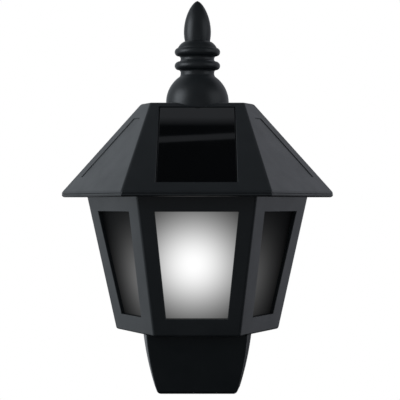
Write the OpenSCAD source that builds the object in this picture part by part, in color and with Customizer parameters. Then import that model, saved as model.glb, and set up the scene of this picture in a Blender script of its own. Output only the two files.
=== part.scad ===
// Solar wall light: half of a six-sided garden lantern that hangs flat against a wall.
// +Z is up, -Y points away from the wall, and the wall is the plane Y = 0.
// The origin lies on the wall, midway between the round entries of the two keyholes.

/* [Moulded shells] */
// Wall thickness of the moulded shells
wall_t = 2.2; // [1.8:0.1:2.6]
// Clearance round a piece that drops into a shell
fit_gap = 0.3; // [0.2:0.05:0.4]
// Width of the ledge that the rear cover seats on
ledge_w = 1.8; // [1.2:0.1:2.4]
// Thickness of that ledge
ledge_t = 1.3; // [0.8:0.1:1.4]

/* [Roof] */
// Height of the underside of the eaves above the keyholes
eave_z = 14.3; // [14:0.1:18]
// Thickness of the plate under the eaves
eave_t = 1.6; // [1.2:0.1:2.4]
// Height of the roof's upright edge
fascia_h = 1.3; // [1.2:0.1:3]
// How far that edge is set back under the roof
fascia_step = 0.5; // [0.4:0.1:1]
// Rise from that edge to the flat top
roof_h = 54; // [50:0.5:62]
// Distance from the middle of the wall side to each eave
eave_reach = 71.6; // [69:0.2:76]
// The same distance at the side edges of the flat top
roof_side_reach = 29.6; // [27:0.2:34]
// Depth of the flat top in front of the wall
roof_front_reach = 10.5; // [10.4:0.1:13]
// Height of the rims that locate the roof and the body on the eave plate
rim_h = 1.1; // [0.6:0.1:1.1]
// Thickness of those rims
rim_t = 1.4; // [1:0.1:2]

/* [Sunk panels on the roof sides] */
// Depth of the sunk panels
side_panel_depth = 1.2; // [0.6:0.1:1.4]
// Border left along the front ridge
side_panel_ridge = 8; // [5:0.5:12]
// Border left along the wall
side_panel_wall = 7.5; // [6:0.5:12]
// Border left above the eave, by height
side_panel_foot = 9.4; // [6:0.2:14]
// Border left below the flat top, by height
side_panel_head = 9.5; // [6:0.2:14]

/* [Solar panel] */
// Width of the solar panel
panel_w = 44.5; // [40:0.5:48]
// Length of the solar panel up the slope
panel_l = 69; // [60:0.5:70]
// Distance from the eave edge to the panel, up the slope
panel_foot = 8.2; // [6:0.2:9]
// Clearance between the panel and the sides of its recess
panel_gap = 0.4; // [0.2:0.1:0.6]
// How deep the panel's face lies below the roof
panel_sunk = 0.5; // [0:0.1:0.8]
// Thickness of the clear laminate over the cells
laminate_t = 0.8; // [0.6:0.1:1.2]
// Thickness of the panel's board
board_t = 1.2; // [0.8:0.1:1.6]
// Thickness of the adhesive tape under the board
tape_t = 0.5; // [0.3:0.1:0.8]
// Thickness of the cell strips
cell_t = 0.3; // [0.2:0.05:0.4]
// Margin between the panel's edge and its cells
cell_margin = 1.6; // [1:0.1:3]
// Gap between two cell strips
cell_gap = 0.5; // [0.4:0.1:1.2]
// Number of cell strips
cell_count = 4; // [2:1:6]
// Thickness of the tray floor under the panel
tray_floor_t = 2; // [1.6:0.1:2.4]
// Radius of the hole for the panel's wires
panel_hole_r = 3.2; // [2.6:0.1:4]
// Distance of that hole from the panel's lower end
panel_hole_foot = 25; // [20:0.5:28]

/* [Lantern body] */
// Height of the lantern body
body_h = 80; // [76:0.5:90]
// Distance from the middle of the wall side to each face, at the top
body_top_reach = 58; // [56:0.2:62]
// The same distance at the foot
body_foot_reach = 42.6; // [41.6:0.2:46]
// Height of the three windows
window_h = 61.4; // [55:0.2:62]
// Height of the windows above the foot of the body
window_foot = 10.1; // [10:0.1:12]
// Width of the front window at its top
front_window_top = 47.2; // [40:0.2:50]
// Width of the front window at its foot
front_window_foot = 35.2; // [30:0.2:37]
// Width of a side window at its top
side_window_top = 41.8; // [36:0.2:43]
// Width of a side window at its foot
side_window_foot = 26; // [22:0.2:32]
// How far a side window lies towards the wall
side_window_shift = 0.9; // [0:0.1:1.2]
// Thickness of the frosted panes
pane_t = 2; // [1.6:0.1:2.4]
// Overlap of a pane behind the frame of its window
pane_lap = 2; // [1.2:0.1:2.2]

/* [Tail] */
// Height of the tail under the body
tail_h = 36.7; // [34:0.5:42]
// Half width of the tail at its top, on the wall
tail_top_half = 33.2; // [32.4:0.2:36]
// Half width of the tail at its foot, on the wall
tail_foot_half = 25.4; // [24:0.2:28]
// Radius of the curved sides of the tail
tail_side_r = 180; // [150:5:300]
// Depth of the tail at its top
tail_top_depth = 36; // [33:0.5:39]
// Depth of the tail at its foot
tail_foot_depth = 20.4; // [20:0.2:24]
// Radius of the tail's lower corners
tail_corner_r = 3.2; // [2.6:0.1:4]
// Angle by which the tail narrows towards its front
tail_draft = 6; // [3:0.5:7]

/* [Finial] */
// Height of the finial above the flat top of the roof
finial_h = 62.8; // [60:0.2:68]
// Half width of the dome
dome_half = 19.1; // [17:0.1:20]
// Depth of the dome in front of the wall
dome_depth = 13.4; // [12.4:0.1:13.6]
// Height of the dome's widest line above the flat top
dome_rise = 0.8; // [0:0.1:2]
// Half width of the neck
neck_half = 10.25; // [9.5:0.05:11]
// Depth of the neck in front of the wall
neck_depth = 6.8; // [6.2:0.1:7.4]
// Half width of the two rings
ring_half = 13.87; // [13:0.05:15]
// Radius of the rings' round edge
ring_edge_r = 2.4; // [1.6:0.1:2.8]
// Height of the lower ring above the flat top
lower_ring_h = 23.1; // [22:0.1:24]
// Distance between the two rings
ring_pitch = 8.4; // [7.6:0.1:9]
// Half width of the collar over the upper ring
collar_half = 11.9; // [11.4:0.1:12.4]
// Height of the collar
collar_h = 4.2; // [4:0.1:5.6]
// Half width of the pointed bud at its waist
waist_half = 7.65; // [7:0.05:8]
// Half width of the bud at its widest
bud_half = 8.25; // [8:0.05:9]
// Depth of the bud in front of the wall
bud_depth = 5.8; // [5.2:0.1:6.4]
// Height from the bud's waist to its widest line
bud_belly = 5.8; // [4:0.1:7]

/* [Rear cover] */
// Thickness of the rear cover
cover_t = 3.2; // [3:0.1:3.6]
// Thickness of the foam gasket
gasket_t = 1; // [0.8:0.1:1.2]
// Width of the foam gasket
gasket_w = 1.8; // [1.4:0.1:2.2]
// Distance between the two keyholes
keyhole_pitch = 50; // [46:1:56]
// Radius of a keyhole's round entry
keyhole_r = 4.5; // [4:0.1:4.8]
// Width of a keyhole's slot
keyhole_slot_w = 4.6; // [4:0.1:5]
// Length of a keyhole's slot, centre to centre
keyhole_slot_l = 6.6; // [5:0.1:6.8]
// Depth of the pocket for the wall screw's head
keyhole_pocket = 6; // [5:0.1:6.6]
// Wall thickness of that pocket
pocket_wall = 1.1; // [0.9:0.1:1.2]

/* [Screws] */
// Radius of the screw shanks
screw_r = 1.25; // [1:0.05:1.5]
// Radius of the screw heads
head_r = 2.6; // [2.3:0.05:2.8]
// Height of the screw heads
head_h = 1.5; // [1.3:0.05:1.6]
// Radial clearance round a shank in a hole that it passes
screw_gap = 0.25; // [0.15:0.05:0.4]
// Radial clearance of a shank in its pilot hole
pilot_gap = 0.05; // [0.02:0.01:0.08]
// Outer radius of the screw bosses
boss_r = 3.1; // [2.8:0.1:3.4]
// Length of the screw bosses
boss_l = 9; // [8:0.1:9.4]
// Length of a screw's shank under its head
shank_l = 9; // [8:0.1:9.5]
// Distance from the middle to the cover screws in the roof
roof_screw_x = 39; // [36:0.5:40]
// Height of those screws above the foot of the roof
roof_screw_h = 34; // [32:0.5:36]
// Distance from the middle to the cover screws in the eave plate
eave_screw_x = 47; // [45:0.5:49]
// Distance from the middle to the cover screws at the foot of the body
body_screw_x = 36; // [35:0.2:37]
// Distance from the middle to the cover screws in the tail
tail_screw_x = 22; // [20:0.5:23]
// Height of those screws below the body
tail_screw_drop = 11; // [9:0.5:14]

/* [Battery] */
// Length of the battery cell
cell_l = 50; // [48:0.5:50.5]
// Radius of the battery cell
cell_r = 7.1; // [6.9:0.05:7.2]
// Length that the contact spring is pressed to
spring_l = 5.4; // [5:0.1:6]
// Wire radius of the contact spring
spring_wire_r = 0.4; // [0.3:0.05:0.5]
// Thickness of the contact plates
contact_t = 0.5; // [0.4:0.05:0.6]
// Wall thickness of the battery holder
holder_wall = 1.5; // [1.2:0.1:1.8]
// Clearance round the cell in its holder
cell_gap_r = 0.3; // [0.2:0.05:0.4]
// Length of the battery door
door_w = 80; // [78:0.5:82]
// Height of the battery door
door_h = 20; // [19:0.1:20.6]
// Thickness of the battery door
door_t = 1.6; // [1.4:0.1:1.7]
// Thickness of the seal under the door
seal_t = 0.6; // [0.4:0.05:0.7]
// Distance from the middle to the door screws
door_screw_x = 35; // [34.6:0.2:36]
// Radius of the door's plate round each screw
door_ear_r = 4.5; // [4:0.1:4.8]

/* [Circuit boards and light] */
// Width of the control board
control_w = 40; // [38:0.5:44]
// Depth of the control board
control_d = 21; // [20:0.5:22]
// Thickness of both circuit boards
pcb_t = 1.2; // [1:0.1:1.6]
// Height of the studs under the control board
stud_h = 3; // [2.6:0.1:3.6]
// Gap between the battery holder and the control board
control_gap = 8; // [7.6:0.2:9]
// Depth of the reflector's back face in front of the wall
tray_depth = 15.4; // [15.2:0.1:16]
// Thickness of the reflector
tray_t = 1.4; // [1.2:0.1:1.6]
// Height of the reflector's raised edge
tray_edge = 6; // [4:0.5:7]
// Gap between the reflector and the panes
tray_gap = 0.5; // [0.4:0.1:0.8]
// Height of the light board below the keyholes
light_drop = 23; // [20:0.5:26]
// Width of the light board
light_w = 30; // [28:0.5:34]
// Height of the light board
light_h = 20; // [18:0.5:24]
// Height of the studs behind the reflector that hold the light board
light_stud_h = 4; // [3.4:0.1:5]
// Length of the light board's screws under their heads
light_shank_l = 5; // [4:0.1:5.2]
// Side of a light chip
chip_w = 3.5; // [3:0.1:5]
// Height of a light chip
chip_h = 1.3; // [1:0.1:1.6]
// Length of the driver chip
driver_l = 5; // [4:0.1:6]
// Width of the driver chip
driver_w = 4; // [3:0.1:5]
// Height of the driver chip
driver_h = 1.6; // [1.2:0.1:2.4]
// Radius of the choke
choke_r = 2.6; // [2:0.1:3]
// Height of the choke
choke_h = 3.6; // [3:0.1:5]
// Radius of the capacitor
capacitor_r = 2.4; // [2:0.1:3]
// Height of the capacitor
capacitor_h = 6; // [5:0.1:8]
// Length of a resistor
resistor_l = 3.2; // [2:0.1:4]
// Width of a resistor
resistor_w = 1.6; // [1:0.1:2]
// Height of a resistor
resistor_h = 0.7; // [0.5:0.1:1]
// Radius of a wire with its insulation
wire_r = 0.6; // [0.5:0.05:0.65]
// Radius of the holes that wires pass through
wire_hole_r = 2.6; // [2.2:0.1:3]
// Distance between a pair of wires and the middle of their hole
wire_pair = 0.9; // [0.8:0.05:1.1]

/* [Push switch] */
// Depth of the button's axis in front of the wall
button_depth = 11.4; // [11.2:0.1:11.8]
// Radius of the button cap
button_r = 4.6; // [4:0.1:4.8]
// Height of the button cap
button_h = 3.4; // [3:0.1:3.8]
// Travel of the button
button_travel = 1.6; // [1.2:0.1:1.8]
// How far the button's face lies above the foot of the tail
button_sunk = 0.4; // [0.2:0.1:0.8]
// Radial clearance round the button cap
button_gap = 0.25; // [0.2:0.05:0.3]
// Radius of the plunger
plunger_r = 1.7; // [1.5:0.05:1.9]
// Radial clearance round the plunger in the switch
plunger_gap = 0.08; // [0.06:0.01:0.1]
// Side of the switch housing
switch_w = 10; // [9.6:0.1:10.2]
// Height of the switch housing
switch_h = 8; // [7:0.1:9]
// Wall thickness of the socket that holds the switch
socket_wall = 1.2; // [1:0.1:1.3]

/* [Hidden] */
$fn = 40;

// Larger than the whole light, for blocks that only cut or limit
span = 400;
// Small overlap that lets a cut pass a face
nick = 0.5;
// Which face of a six-sided form a function speaks of
SIDE = 1;
FRONT = 2;

body_z = eave_z - body_h;
tail_z = body_z - tail_h;
parting_z = eave_z + eave_t;
fascia_z = parting_z + fascia_h;
roof_top_z = fascia_z + roof_h;
finial_z = roof_top_z;

// A form is [lower height, side reach, front reach, upper height, side reach, front reach]
body_form = [body_z, body_foot_reach, body_foot_reach, eave_z, body_top_reach, body_top_reach];
roof_form = [fascia_z, eave_reach, eave_reach, roof_top_z, roof_side_reach, roof_front_reach];
edge_reach = eave_reach - fascia_step;
edge_form = [eave_z, edge_reach, edge_reach, fascia_z, edge_reach, edge_reach];

function run(form, face) = (form[face + 3] - form[face]) / (form[3] - form[0]);
function reach(form, face, z, inset = 0) =
    form[face] + run(form, face) * (z - form[0]) - inset * sqrt(1 + pow(run(form, face), 2));
// Half width of a form at one height and depth
function half_width(form, z, depth, inset = 0) =
    (reach(form, SIDE, z, inset) - depth * cos(60)) / sin(60);

// Block of everything behind one sloping face
module slope_block(form, face, angle, z_lo, z_hi, inset, back) {
    rotate([0, 0, angle]) rotate([90, 0, 90]) linear_extrude(span, center = true)
        polygon([
            [back, z_lo], [-reach(form, face, z_lo, inset), z_lo],
            [-reach(form, face, z_hi, inset), z_hi], [back, z_hi]
        ]);
}

// Half of a tapered six-sided form, set in from its faces by inset
module half_hex(form, z_lo, z_hi, inset = 0, back = 0) {
    intersection() {
        slope_block(form, FRONT, 0, z_lo, z_hi, inset, back);
        slope_block(form, SIDE, 60, z_lo, z_hi, inset, span);
        slope_block(form, SIDE, -60, z_lo, z_hi, inset, span);
    }
}

// Everything between two depths in front of the wall
module slab(near, far) {
    translate([-span / 2, -far, -span / 2]) cube([span, far - near, span]);
}

// Everything from one height up
module above(z) {
    translate([-span / 2, -span / 2, z]) cube(span);
}

// Flat shape drawn in x and z, made solid between two depths in front of the wall
module forward(near, far) {
    translate([0, -near, 0]) rotate([90, 0, 0]) linear_extrude(far - near) children();
}

module both_sides() {
    children();
    mirror([1, 0, 0]) children();
}

function trapezoid(foot_w, top_w, z_lo, z_hi, shift = 0) = [
    [shift - foot_w / 2, z_lo], [shift + foot_w / 2, z_lo],
    [shift + top_w / 2, z_hi], [shift - top_w / 2, z_hi]
];

// Points of the arc that rounds the corner b between a and c
function unit(v) = v / norm(v);
function corner_arc(a, b, c, r, steps = 6) =
    let (
        u = unit(a - b), v = unit(c - b), half = acos(u * v) / 2,
        middle = b + unit(u + v) * r / sin(half),
        from = b + u * r / tan(half) - middle, to = b + v * r / tan(half) - middle,
        start = atan2(from[1], from[0]),
        turn = (atan2(to[1], to[0]) - start + 540) % 360 - 180
    )
    [for (i = [0:steps]) middle + r * [cos(start + turn * i / steps), sin(start + turn * i / steps)]];

// Tail

tail_foot = [tail_foot_half, tail_z];
tail_top = [tail_top_half, body_z];
tail_chord = norm(tail_top - tail_foot);
tail_out = unit([tail_top[1] - tail_foot[1], tail_foot[0] - tail_top[0]]);
tail_centre = (tail_top + tail_foot) / 2
    - tail_out * sqrt(pow(tail_side_r, 2) - pow(tail_chord / 2, 2));
function tail_half(z, inset = 0) =
    tail_centre[0] + sqrt(pow(tail_side_r - inset, 2) - pow(z - tail_centre[1], 2));
function tail_run() = (tail_top_depth - tail_foot_depth) / tail_h;
function tail_reach(z, inset = 0) =
    tail_foot_depth + tail_run() * (z - tail_z) - inset * sqrt(1 + pow(tail_run(), 2));

// Everything to the left of the tail's right side
module tail_side_block(z_lo, z_hi, inset) {
    steps = 12;
    corner = max(tail_corner_r - inset, nick);
    foot = [tail_half(z_lo, inset), z_lo];
    above = [tail_half(z_lo + tail_corner_r, inset), z_lo + tail_corner_r];
    translate([tail_top_half, 0, 0]) rotate([0, 0, -tail_draft]) translate([-tail_top_half, 0, 0])
        rotate([90, 0, 0]) linear_extrude(span, center = true)
            polygon(concat(
                [[-span / 4, z_hi], [-span / 4, z_lo]],
                corner_arc([0, z_lo], foot, above, corner),
                [for (i = [1:steps])
                    let (z = above[1] + (z_hi - above[1]) * i / steps) [tail_half(z, inset), z]]
            ));
}

module tail_form(z_lo, z_hi, inset = 0, back = 0) {
    corner = max(tail_corner_r - inset, nick);
    foot = [-tail_reach(z_lo, inset), z_lo];
    top = [-tail_reach(z_hi, inset), z_hi];
    intersection() {
        tail_side_block(z_lo, z_hi, inset);
        mirror([1, 0, 0]) tail_side_block(z_lo, z_hi, inset);
        rotate([90, 0, 90]) linear_extrude(span, center = true)
            polygon(concat(
                [[back, z_hi], top], corner_arc(top, foot, [back, z_lo], corner), [[back, z_lo]]
            ));
    }
}

// Screws and bosses

seat_depth = cover_t + gasket_t;
hole_r = screw_r + screw_gap;
pilot_r = screw_r + pilot_gap;
// Depth of a counterbore, and the solid left under it
sink_depth = cover_t - 1.3;
sink_r = head_r + screw_gap;
head_clear = 0.2;

// Pan-head screw along +Z, with the underside of its head at z = 0 and its shank below
module screw(length) {
    translate([0, 0, -length]) cylinder(h = length + head_h / 2, r = screw_r);
    difference() {
        cylinder(h = head_h, r1 = head_r, r2 = head_r * 0.8);
        translate([0, 0, head_h * 0.5]) {
            translate([-head_r * 0.55, -0.35, 0]) cube([head_r * 1.1, 0.7, head_h]);
            translate([-0.35, -head_r * 0.55, 0]) cube([0.7, head_r * 1.1, head_h]);
        }
    }
}

// Countersunk screw along +Z, with the flat of its head at z = 0 and its shank below
module flat_screw(length) {
    difference() {
        union() {
            translate([0, 0, -length]) cylinder(h = length - nick, r = screw_r);
            translate([0, 0, screw_r - head_r]) cylinder(h = head_r - screw_r, r1 = screw_r, r2 = head_r);
        }
        translate([-head_r * 0.5, -0.35, -0.6]) cube([head_r, 0.7, 1]);
        translate([-0.35, -head_r * 0.5, -0.6]) cube([0.7, head_r, 1]);
    }
}

module from_behind(x, z, depth) {
    translate([x, -depth, z]) rotate([-90, 0, 0]) children();
}

module from_front(x, z, depth) {
    translate([x, -depth, z]) rotate([90, 0, 0]) children();
}

// Longer than the way from any boss to its shell, which ends the web
web_reach = 20;

// Boss for a cover screw, with a web that reaches out sideways, up or down to its shell
module screw_boss(x, z, web_x, web_z) {
    wide = max(abs(web_x), boss_r);
    high = max(abs(web_z), boss_r);
    from_front(x, z, seat_depth) cylinder(h = boss_l, r = boss_r);
    forward(seat_depth, seat_depth + boss_l)
        translate([x + web_x / 2 - wide / 2, z + web_z / 2 - high / 2]) square([wide, high]);
}

module boss_hole(x, z) {
    from_front(x, z, seat_depth - nick) cylinder(h = boss_l, r = pilot_r);
}

roof_screw_z = fascia_z + roof_screw_h;
eave_screw_z = eave_z - boss_r - 1;
body_screw_z = body_z + wall_t + fit_gap + sink_r + 1.2;
tail_screw_z = body_z - tail_screw_drop;
cover_screw_points = [
    [roof_screw_x, roof_screw_z], [eave_screw_x, eave_screw_z],
    [body_screw_x, body_screw_z], [tail_screw_x, tail_screw_z]
];

// Eave plate screws go up into posts under the roof
eave_front_x = 28;
eave_front_depth = body_top_reach - wall_t - rim_t - head_r - 5.6;
eave_back_depth = seat_depth + boss_l + head_r + 1.6;
eave_back_x = half_width(body_form, eave_z, eave_back_depth, wall_t) - head_r - 3.8;
eave_screw_points = [[eave_front_x, eave_front_depth], [eave_back_x, eave_back_depth]];

// Battery bay

holder_l = cell_l + spring_l + 2 * contact_t;
holder_in_h = 2 * (cell_r + cell_gap_r);
holder_z = parting_z;
holder_back = cover_t;
holder_in_d = 2 * (cell_r + cell_gap_r);
holder_front = holder_back + holder_in_d + holder_wall;
battery_z = holder_z + holder_wall + cell_r + cell_gap_r;
battery_depth = holder_back + cell_r + cell_gap_r;
battery_x = -holder_l / 2 + contact_t;
door_z = battery_z;
door_sink = door_t + seal_t;
bay_w = holder_l - 3;
bay_h = holder_in_h - 0.2;

// Circuit boards

control_z = parting_z + stud_h;
control_back = holder_front + control_gap;
control_screw_points = [for (x = [-1, 1], y = [0, 1])
    [x * (control_w / 2 - 3.5), -(control_back + 3.5 + y * (control_d - 7))]];
light_z = -light_drop;
light_screw_x = light_w / 2 - 3.5;
tray_front = tray_depth + tray_t;
tray_top_z = eave_screw_z - boss_r - 1.4;
tray_foot_z = body_z + wall_t + 3;
tray_inset = wall_t + pane_t + tray_gap;
tray_screw_points = [[keyhole_pitch / 2 + 16, -3], [keyhole_pitch / 2 + 5, body_z + wall_t + 12]];

// Cover that closes the back of roof, body and tail in one piece

module cover_shape(edge, near, far) {
    set_in = wall_t + fit_gap + edge;
    intersection() {
        union() {
            half_hex(roof_form, fascia_z + edge, roof_top_z - set_in, set_in);
            half_hex(body_form, body_z + set_in, fascia_z + set_in, set_in);
            tail_form(tail_z + set_in, body_z + 2 * set_in, set_in);
        }
        slab(near, far);
    }
}

module keyhole(depth) {
    from_behind(0, 0, depth) translate([0, 0, -nick]) cylinder(h = depth + 2 * nick, r = keyhole_r);
    from_behind(0, keyhole_slot_l, depth) translate([0, 0, -nick])
        cylinder(h = depth + 2 * nick, r = keyhole_slot_w / 2);
    translate([-keyhole_slot_w / 2, -depth - nick, 0])
        cube([keyhole_slot_w, depth + 2 * nick, keyhole_slot_l]);
}

pocket_side = keyhole_r + 0.6;
pocket_top = keyhole_slot_l + keyhole_r - 0.4;

module keyhole_pocket_block(grow) {
    translate([-pocket_side - grow, -cover_t - keyhole_pocket - grow, -pocket_side - grow])
        cube([2 * (pocket_side + grow), keyhole_pocket + grow + nick, pocket_side + pocket_top + 2 * grow]);
}

// Plate of the door, which always reaches round its screws
module door_plate(near, far, gap) {
    forward(near, far) {
        translate([-door_w / 2 + gap, door_z - door_h / 2 + gap])
            square([door_w - 2 * gap, door_h - 2 * gap]);
        for (side = [-1, 1]) translate([side * door_screw_x, door_z]) circle(r = door_ear_r - gap);
    }
}

module bay_opening(near, far, grow = 0) {
    forward(near, far) translate([-bay_w / 2 - grow, door_z - bay_h / 2 - grow])
        square([bay_w + 2 * grow, bay_h + 2 * grow]);
}

module rear_cover() {
    color("#1c2022") difference() {
        union() {
            cover_shape(0, 0, cover_t);
            for (side = [-1, 1]) translate([side * keyhole_pitch / 2, 0, 0])
                keyhole_pocket_block(pocket_wall);
            both_sides() for (p = tray_screw_points) from_front(p[0], p[1], cover_t - nick)
                cylinder(h = tray_depth - cover_t + nick, r = boss_r);
            both_sides() from_front(door_screw_x, door_z, cover_t - nick)
                cylinder(h = boss_l - 2, r = boss_r);
        }
        for (side = [-1, 1]) translate([side * keyhole_pitch / 2, 0, 0]) {
            keyhole(cover_t);
            difference() {
                keyhole_pocket_block(0);
                slab(-1, cover_t);
            }
        }
        both_sides() {
            for (p = cover_screw_points) {
                from_front(p[0], p[1], -nick) cylinder(h = cover_t + 2 * nick, r = hole_r);
                from_front(p[0], p[1], -nick) cylinder(h = sink_depth + nick, r = sink_r);
            }
            for (p = tray_screw_points) from_behind(p[0], p[1], tray_depth + nick)
                cylinder(h = shank_l, r = pilot_r);
            from_front(door_screw_x, door_z, door_sink - nick) cylinder(h = boss_l - 2, r = pilot_r);
        }
        door_plate(-nick, door_sink, 0);
        bay_opening(0, cover_t + nick);
    }
}

module rear_gasket() {
    color("#2b2b2b") difference() {
        cover_shape(0, cover_t, seat_depth);
        cover_shape(gasket_w, cover_t - nick, seat_depth + nick);
    }
}

module cover_screws() {
    color("silver") both_sides() for (p = cover_screw_points)
        from_behind(p[0], p[1], sink_depth) screw(shank_l);
}

module battery_door() {
    color("#202426") difference() {
        door_plate(0, door_t, fit_gap);
        both_sides() {
            from_front(door_screw_x, door_z, -nick) cylinder(h = door_t + 2 * nick, r = hole_r);
            from_front(door_screw_x, door_z, 0) cylinder(h = head_r - screw_r, r1 = head_r, r2 = screw_r);
        }
        // Grip grooves
        for (i = [-2:2]) forward(-nick, 0.4) translate([i * 2.4 - 0.5, door_z - door_h / 4])
            square([1, door_h / 2]);
    }
}

module door_seal() {
    color("#3a3a3a") difference() {
        door_plate(door_t, door_sink, fit_gap + 0.4);
        bay_opening(door_t - nick, door_sink + nick, 0.6);
        both_sides() from_front(door_screw_x, door_z, door_t - nick)
            cylinder(h = seal_t + 2 * nick, r = hole_r);
    }
}

module door_screws() {
    color("silver") both_sides() from_behind(door_screw_x, door_z, 0) flat_screw(boss_l - 1);
}

// Roof

slope_deg = atan2(roof_h, eave_reach - roof_front_reach);
recess_depth = tape_t + board_t + laminate_t + panel_sunk;
// How far the tray's floor reaches past the panel's recess
tray_rim = 2;

// Frame whose x runs across the front slope, y up it and z out of it
module on_front_slope() {
    translate([0, -eave_reach, fascia_z]) rotate([slope_deg, 0, 0]) children();
}

// Slice of the panel's stack, between two depths below the roof face
module panel_slice(top, bottom, inset = 0) {
    on_front_slope() translate([-panel_w / 2 + inset, panel_foot + inset, -bottom])
        cube([panel_w - 2 * inset, panel_l - 2 * inset, bottom - top]);
}

module panel_hole(r) {
    on_front_slope() translate([0, panel_foot + panel_hole_foot, -recess_depth - tray_floor_t - 2])
        cylinder(h = tray_floor_t + 2 + tape_t, r = r);
}

function wall_edge(z, border) = (reach(roof_form, SIDE, z) / 2 - border) / sin(60);
function ridge_edge(z, border) =
    (reach(roof_form, SIDE, z) / 2 - reach(roof_form, FRONT, z)) / sin(60) + border;

// Sunk panel of the right side slope
module side_panel() {
    lo = fascia_z + side_panel_foot;
    hi = roof_top_z - side_panel_head;
    intersection() {
        difference() {
            slope_block(roof_form, SIDE, 60, lo, hi, -nick, -nick);
            slope_block(roof_form, SIDE, 60, lo - 1, hi + 1, side_panel_depth, 0);
        }
        rotate([0, 0, 60]) forward(0, span / 2) polygon([
            [wall_edge(lo, side_panel_wall), lo], [wall_edge(hi, side_panel_wall), hi],
            [ridge_edge(hi, side_panel_ridge), hi], [ridge_edge(lo, side_panel_ridge), lo]
        ]);
    }
}

// Height over which the upright edge runs up inside the roof
edge_lap = 0.3;
inner_reach = reach(roof_form, FRONT, fascia_z + edge_lap, wall_t);
inner_edge_form = [eave_z, inner_reach, inner_reach, fascia_z, inner_reach, inner_reach];

// Tray under the solar panel, posts for the eave screws, bosses and the cover ledge
module roof_inside() {
    panel_slice(0, recess_depth + tray_floor_t, -tray_rim - panel_gap);
    difference() {
        both_sides() for (p = eave_screw_points)
            translate([p[0], -p[1], parting_z]) cylinder(h = roof_h, r = boss_r);
        panel_slice(0, recess_depth, -panel_gap);
    }
    both_sides() screw_boss(roof_screw_x, roof_screw_z, web_reach, 0);
    difference() {
        slab(seat_depth, seat_depth + ledge_t);
        half_hex(roof_form, parting_z, roof_top_z - wall_t - ledge_w, wall_t + ledge_w, 1);
        above(-span + fascia_z + nick);
    }
}

// Room under the flat top for the head of the finial's screw
module finial_head_room() {
    room = head_h + 2 * head_clear;
    at_finial_screw(roof_top_z - wall_t - room) cylinder(h = room + wall_t, r = head_r + 2 * head_clear);
}

module roof_shell() {
    color("#22272a") difference() {
        union() {
            difference() {
                union() {
                    half_hex(roof_form, fascia_z, roof_top_z);
                    half_hex(edge_form, parting_z, fascia_z + edge_lap / 2);
                }
                half_hex(roof_form, fascia_z, roof_top_z - wall_t, wall_t, nick);
                half_hex(inner_edge_form, parting_z - nick, fascia_z + edge_lap / 2, 0, nick);
            }
            difference() {
                intersection() {
                    half_hex(roof_form, parting_z, roof_top_z - wall_t / 2, wall_t / 2);
                    roof_inside();
                }
                finial_head_room();
            }
        }
        panel_slice(-nick, recess_depth, -panel_gap);
        panel_hole(panel_hole_r);
        both_sides() {
            side_panel();
            boss_hole(roof_screw_x, roof_screw_z);
            for (p = eave_screw_points) translate([p[0], -p[1], parting_z - nick])
                cylinder(h = shank_l, r = pilot_r);
        }
        at_finial_screw(roof_top_z - wall_t - 1) cylinder(h = wall_t + 2, r = hole_r);
    }
}

module eave_plate() {
    color("#262b2e") difference() {
        union() {
            half_hex(edge_form, eave_z, parting_z);
            // Rim inside the roof's edge
            difference() {
                half_hex(inner_edge_form, parting_z - nick, parting_z + rim_h, fit_gap);
                half_hex(inner_edge_form, parting_z - 1, parting_z + rim_h + 1, fit_gap + rim_t, nick);
                slab(-1, seat_depth + ledge_t + fit_gap);
            }
            // Rim inside the body's top edge
            difference() {
                half_hex(body_form, eave_z - rim_h, eave_z + nick, wall_t + fit_gap);
                half_hex(body_form, eave_z - rim_h - 1, eave_z + 1, wall_t + fit_gap + rim_t, nick);
                slab(-1, seat_depth + fit_gap);
            }
            both_sides() screw_boss(eave_screw_x, eave_screw_z, 0, eave_z - eave_screw_z + nick);
            for (p = control_screw_points) translate([p[0], p[1], parting_z - nick])
                cylinder(h = stud_h + nick, r = boss_r - 0.4);
            // Ribs that hold the battery holder in place
            both_sides() {
                translate([holder_l / 2 - 16, -holder_front - fit_gap - 1.2, parting_z - nick])
                    cube([10, 1.2, 2.4 + nick]);
                translate([holder_l / 2 + holder_wall + fit_gap, 2 - holder_front, parting_z - nick])
                    cube([1.2, 10, 2.4 + nick]);
            }
        }
        // Room for the rear cover and its gasket
        intersection() {
            half_hex(body_form, eave_z - 2, fascia_z + 2, wall_t, nick);
            slab(-1, seat_depth);
        }
        both_sides() {
            boss_hole(eave_screw_x, eave_screw_z);
            for (p = eave_screw_points) translate([p[0], -p[1], eave_z - nick])
                cylinder(h = eave_t + 2 * nick, r = hole_r);
        }
        for (p = control_screw_points) translate([p[0], p[1], eave_z + 0.4])
            cylinder(h = span, r = pilot_r);
        both_sides() wire_hole(light_hole_x, light_hole_depth, eave_z - nick, parting_z + nick);
    }
}

module eave_screws() {
    color("silver") both_sides() for (p = eave_screw_points)
        translate([p[0], -p[1], eave_z]) rotate([180, 0, 0]) screw(shank_l);
}

// Finial: a turned shape whose axis lies behind the wall, so that only its front shows

finial_screw_depth = seat_depth + head_r + 0.1;

module at_finial_screw(z) {
    translate([0, -finial_screw_depth, z]) children();
}

function relief_r(half, depth) = (half * half + depth * depth) / (2 * depth);
function relief_back(half, depth) = relief_r(half, depth) - depth;
dome_r = relief_r(dome_half, dome_depth);
dome_back = relief_back(dome_half, dome_depth);
neck_r = relief_r(neck_half, neck_depth);
neck_back = relief_back(neck_half, neck_depth);
bud_back = relief_back(bud_half, bud_depth);
dome_z = finial_z + dome_rise;
lower_ring_z = finial_z + lower_ring_h;
upper_ring_z = lower_ring_z + ring_pitch;
collar_z = upper_ring_z + ring_edge_r - 0.1;
waist_z = collar_z + collar_h;
belly_z = waist_z + bud_belly;
tip_z = finial_z + finial_h;
// The collar's top ends a little inside the bud
collar_foot = waist_half - 0.4;

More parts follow.
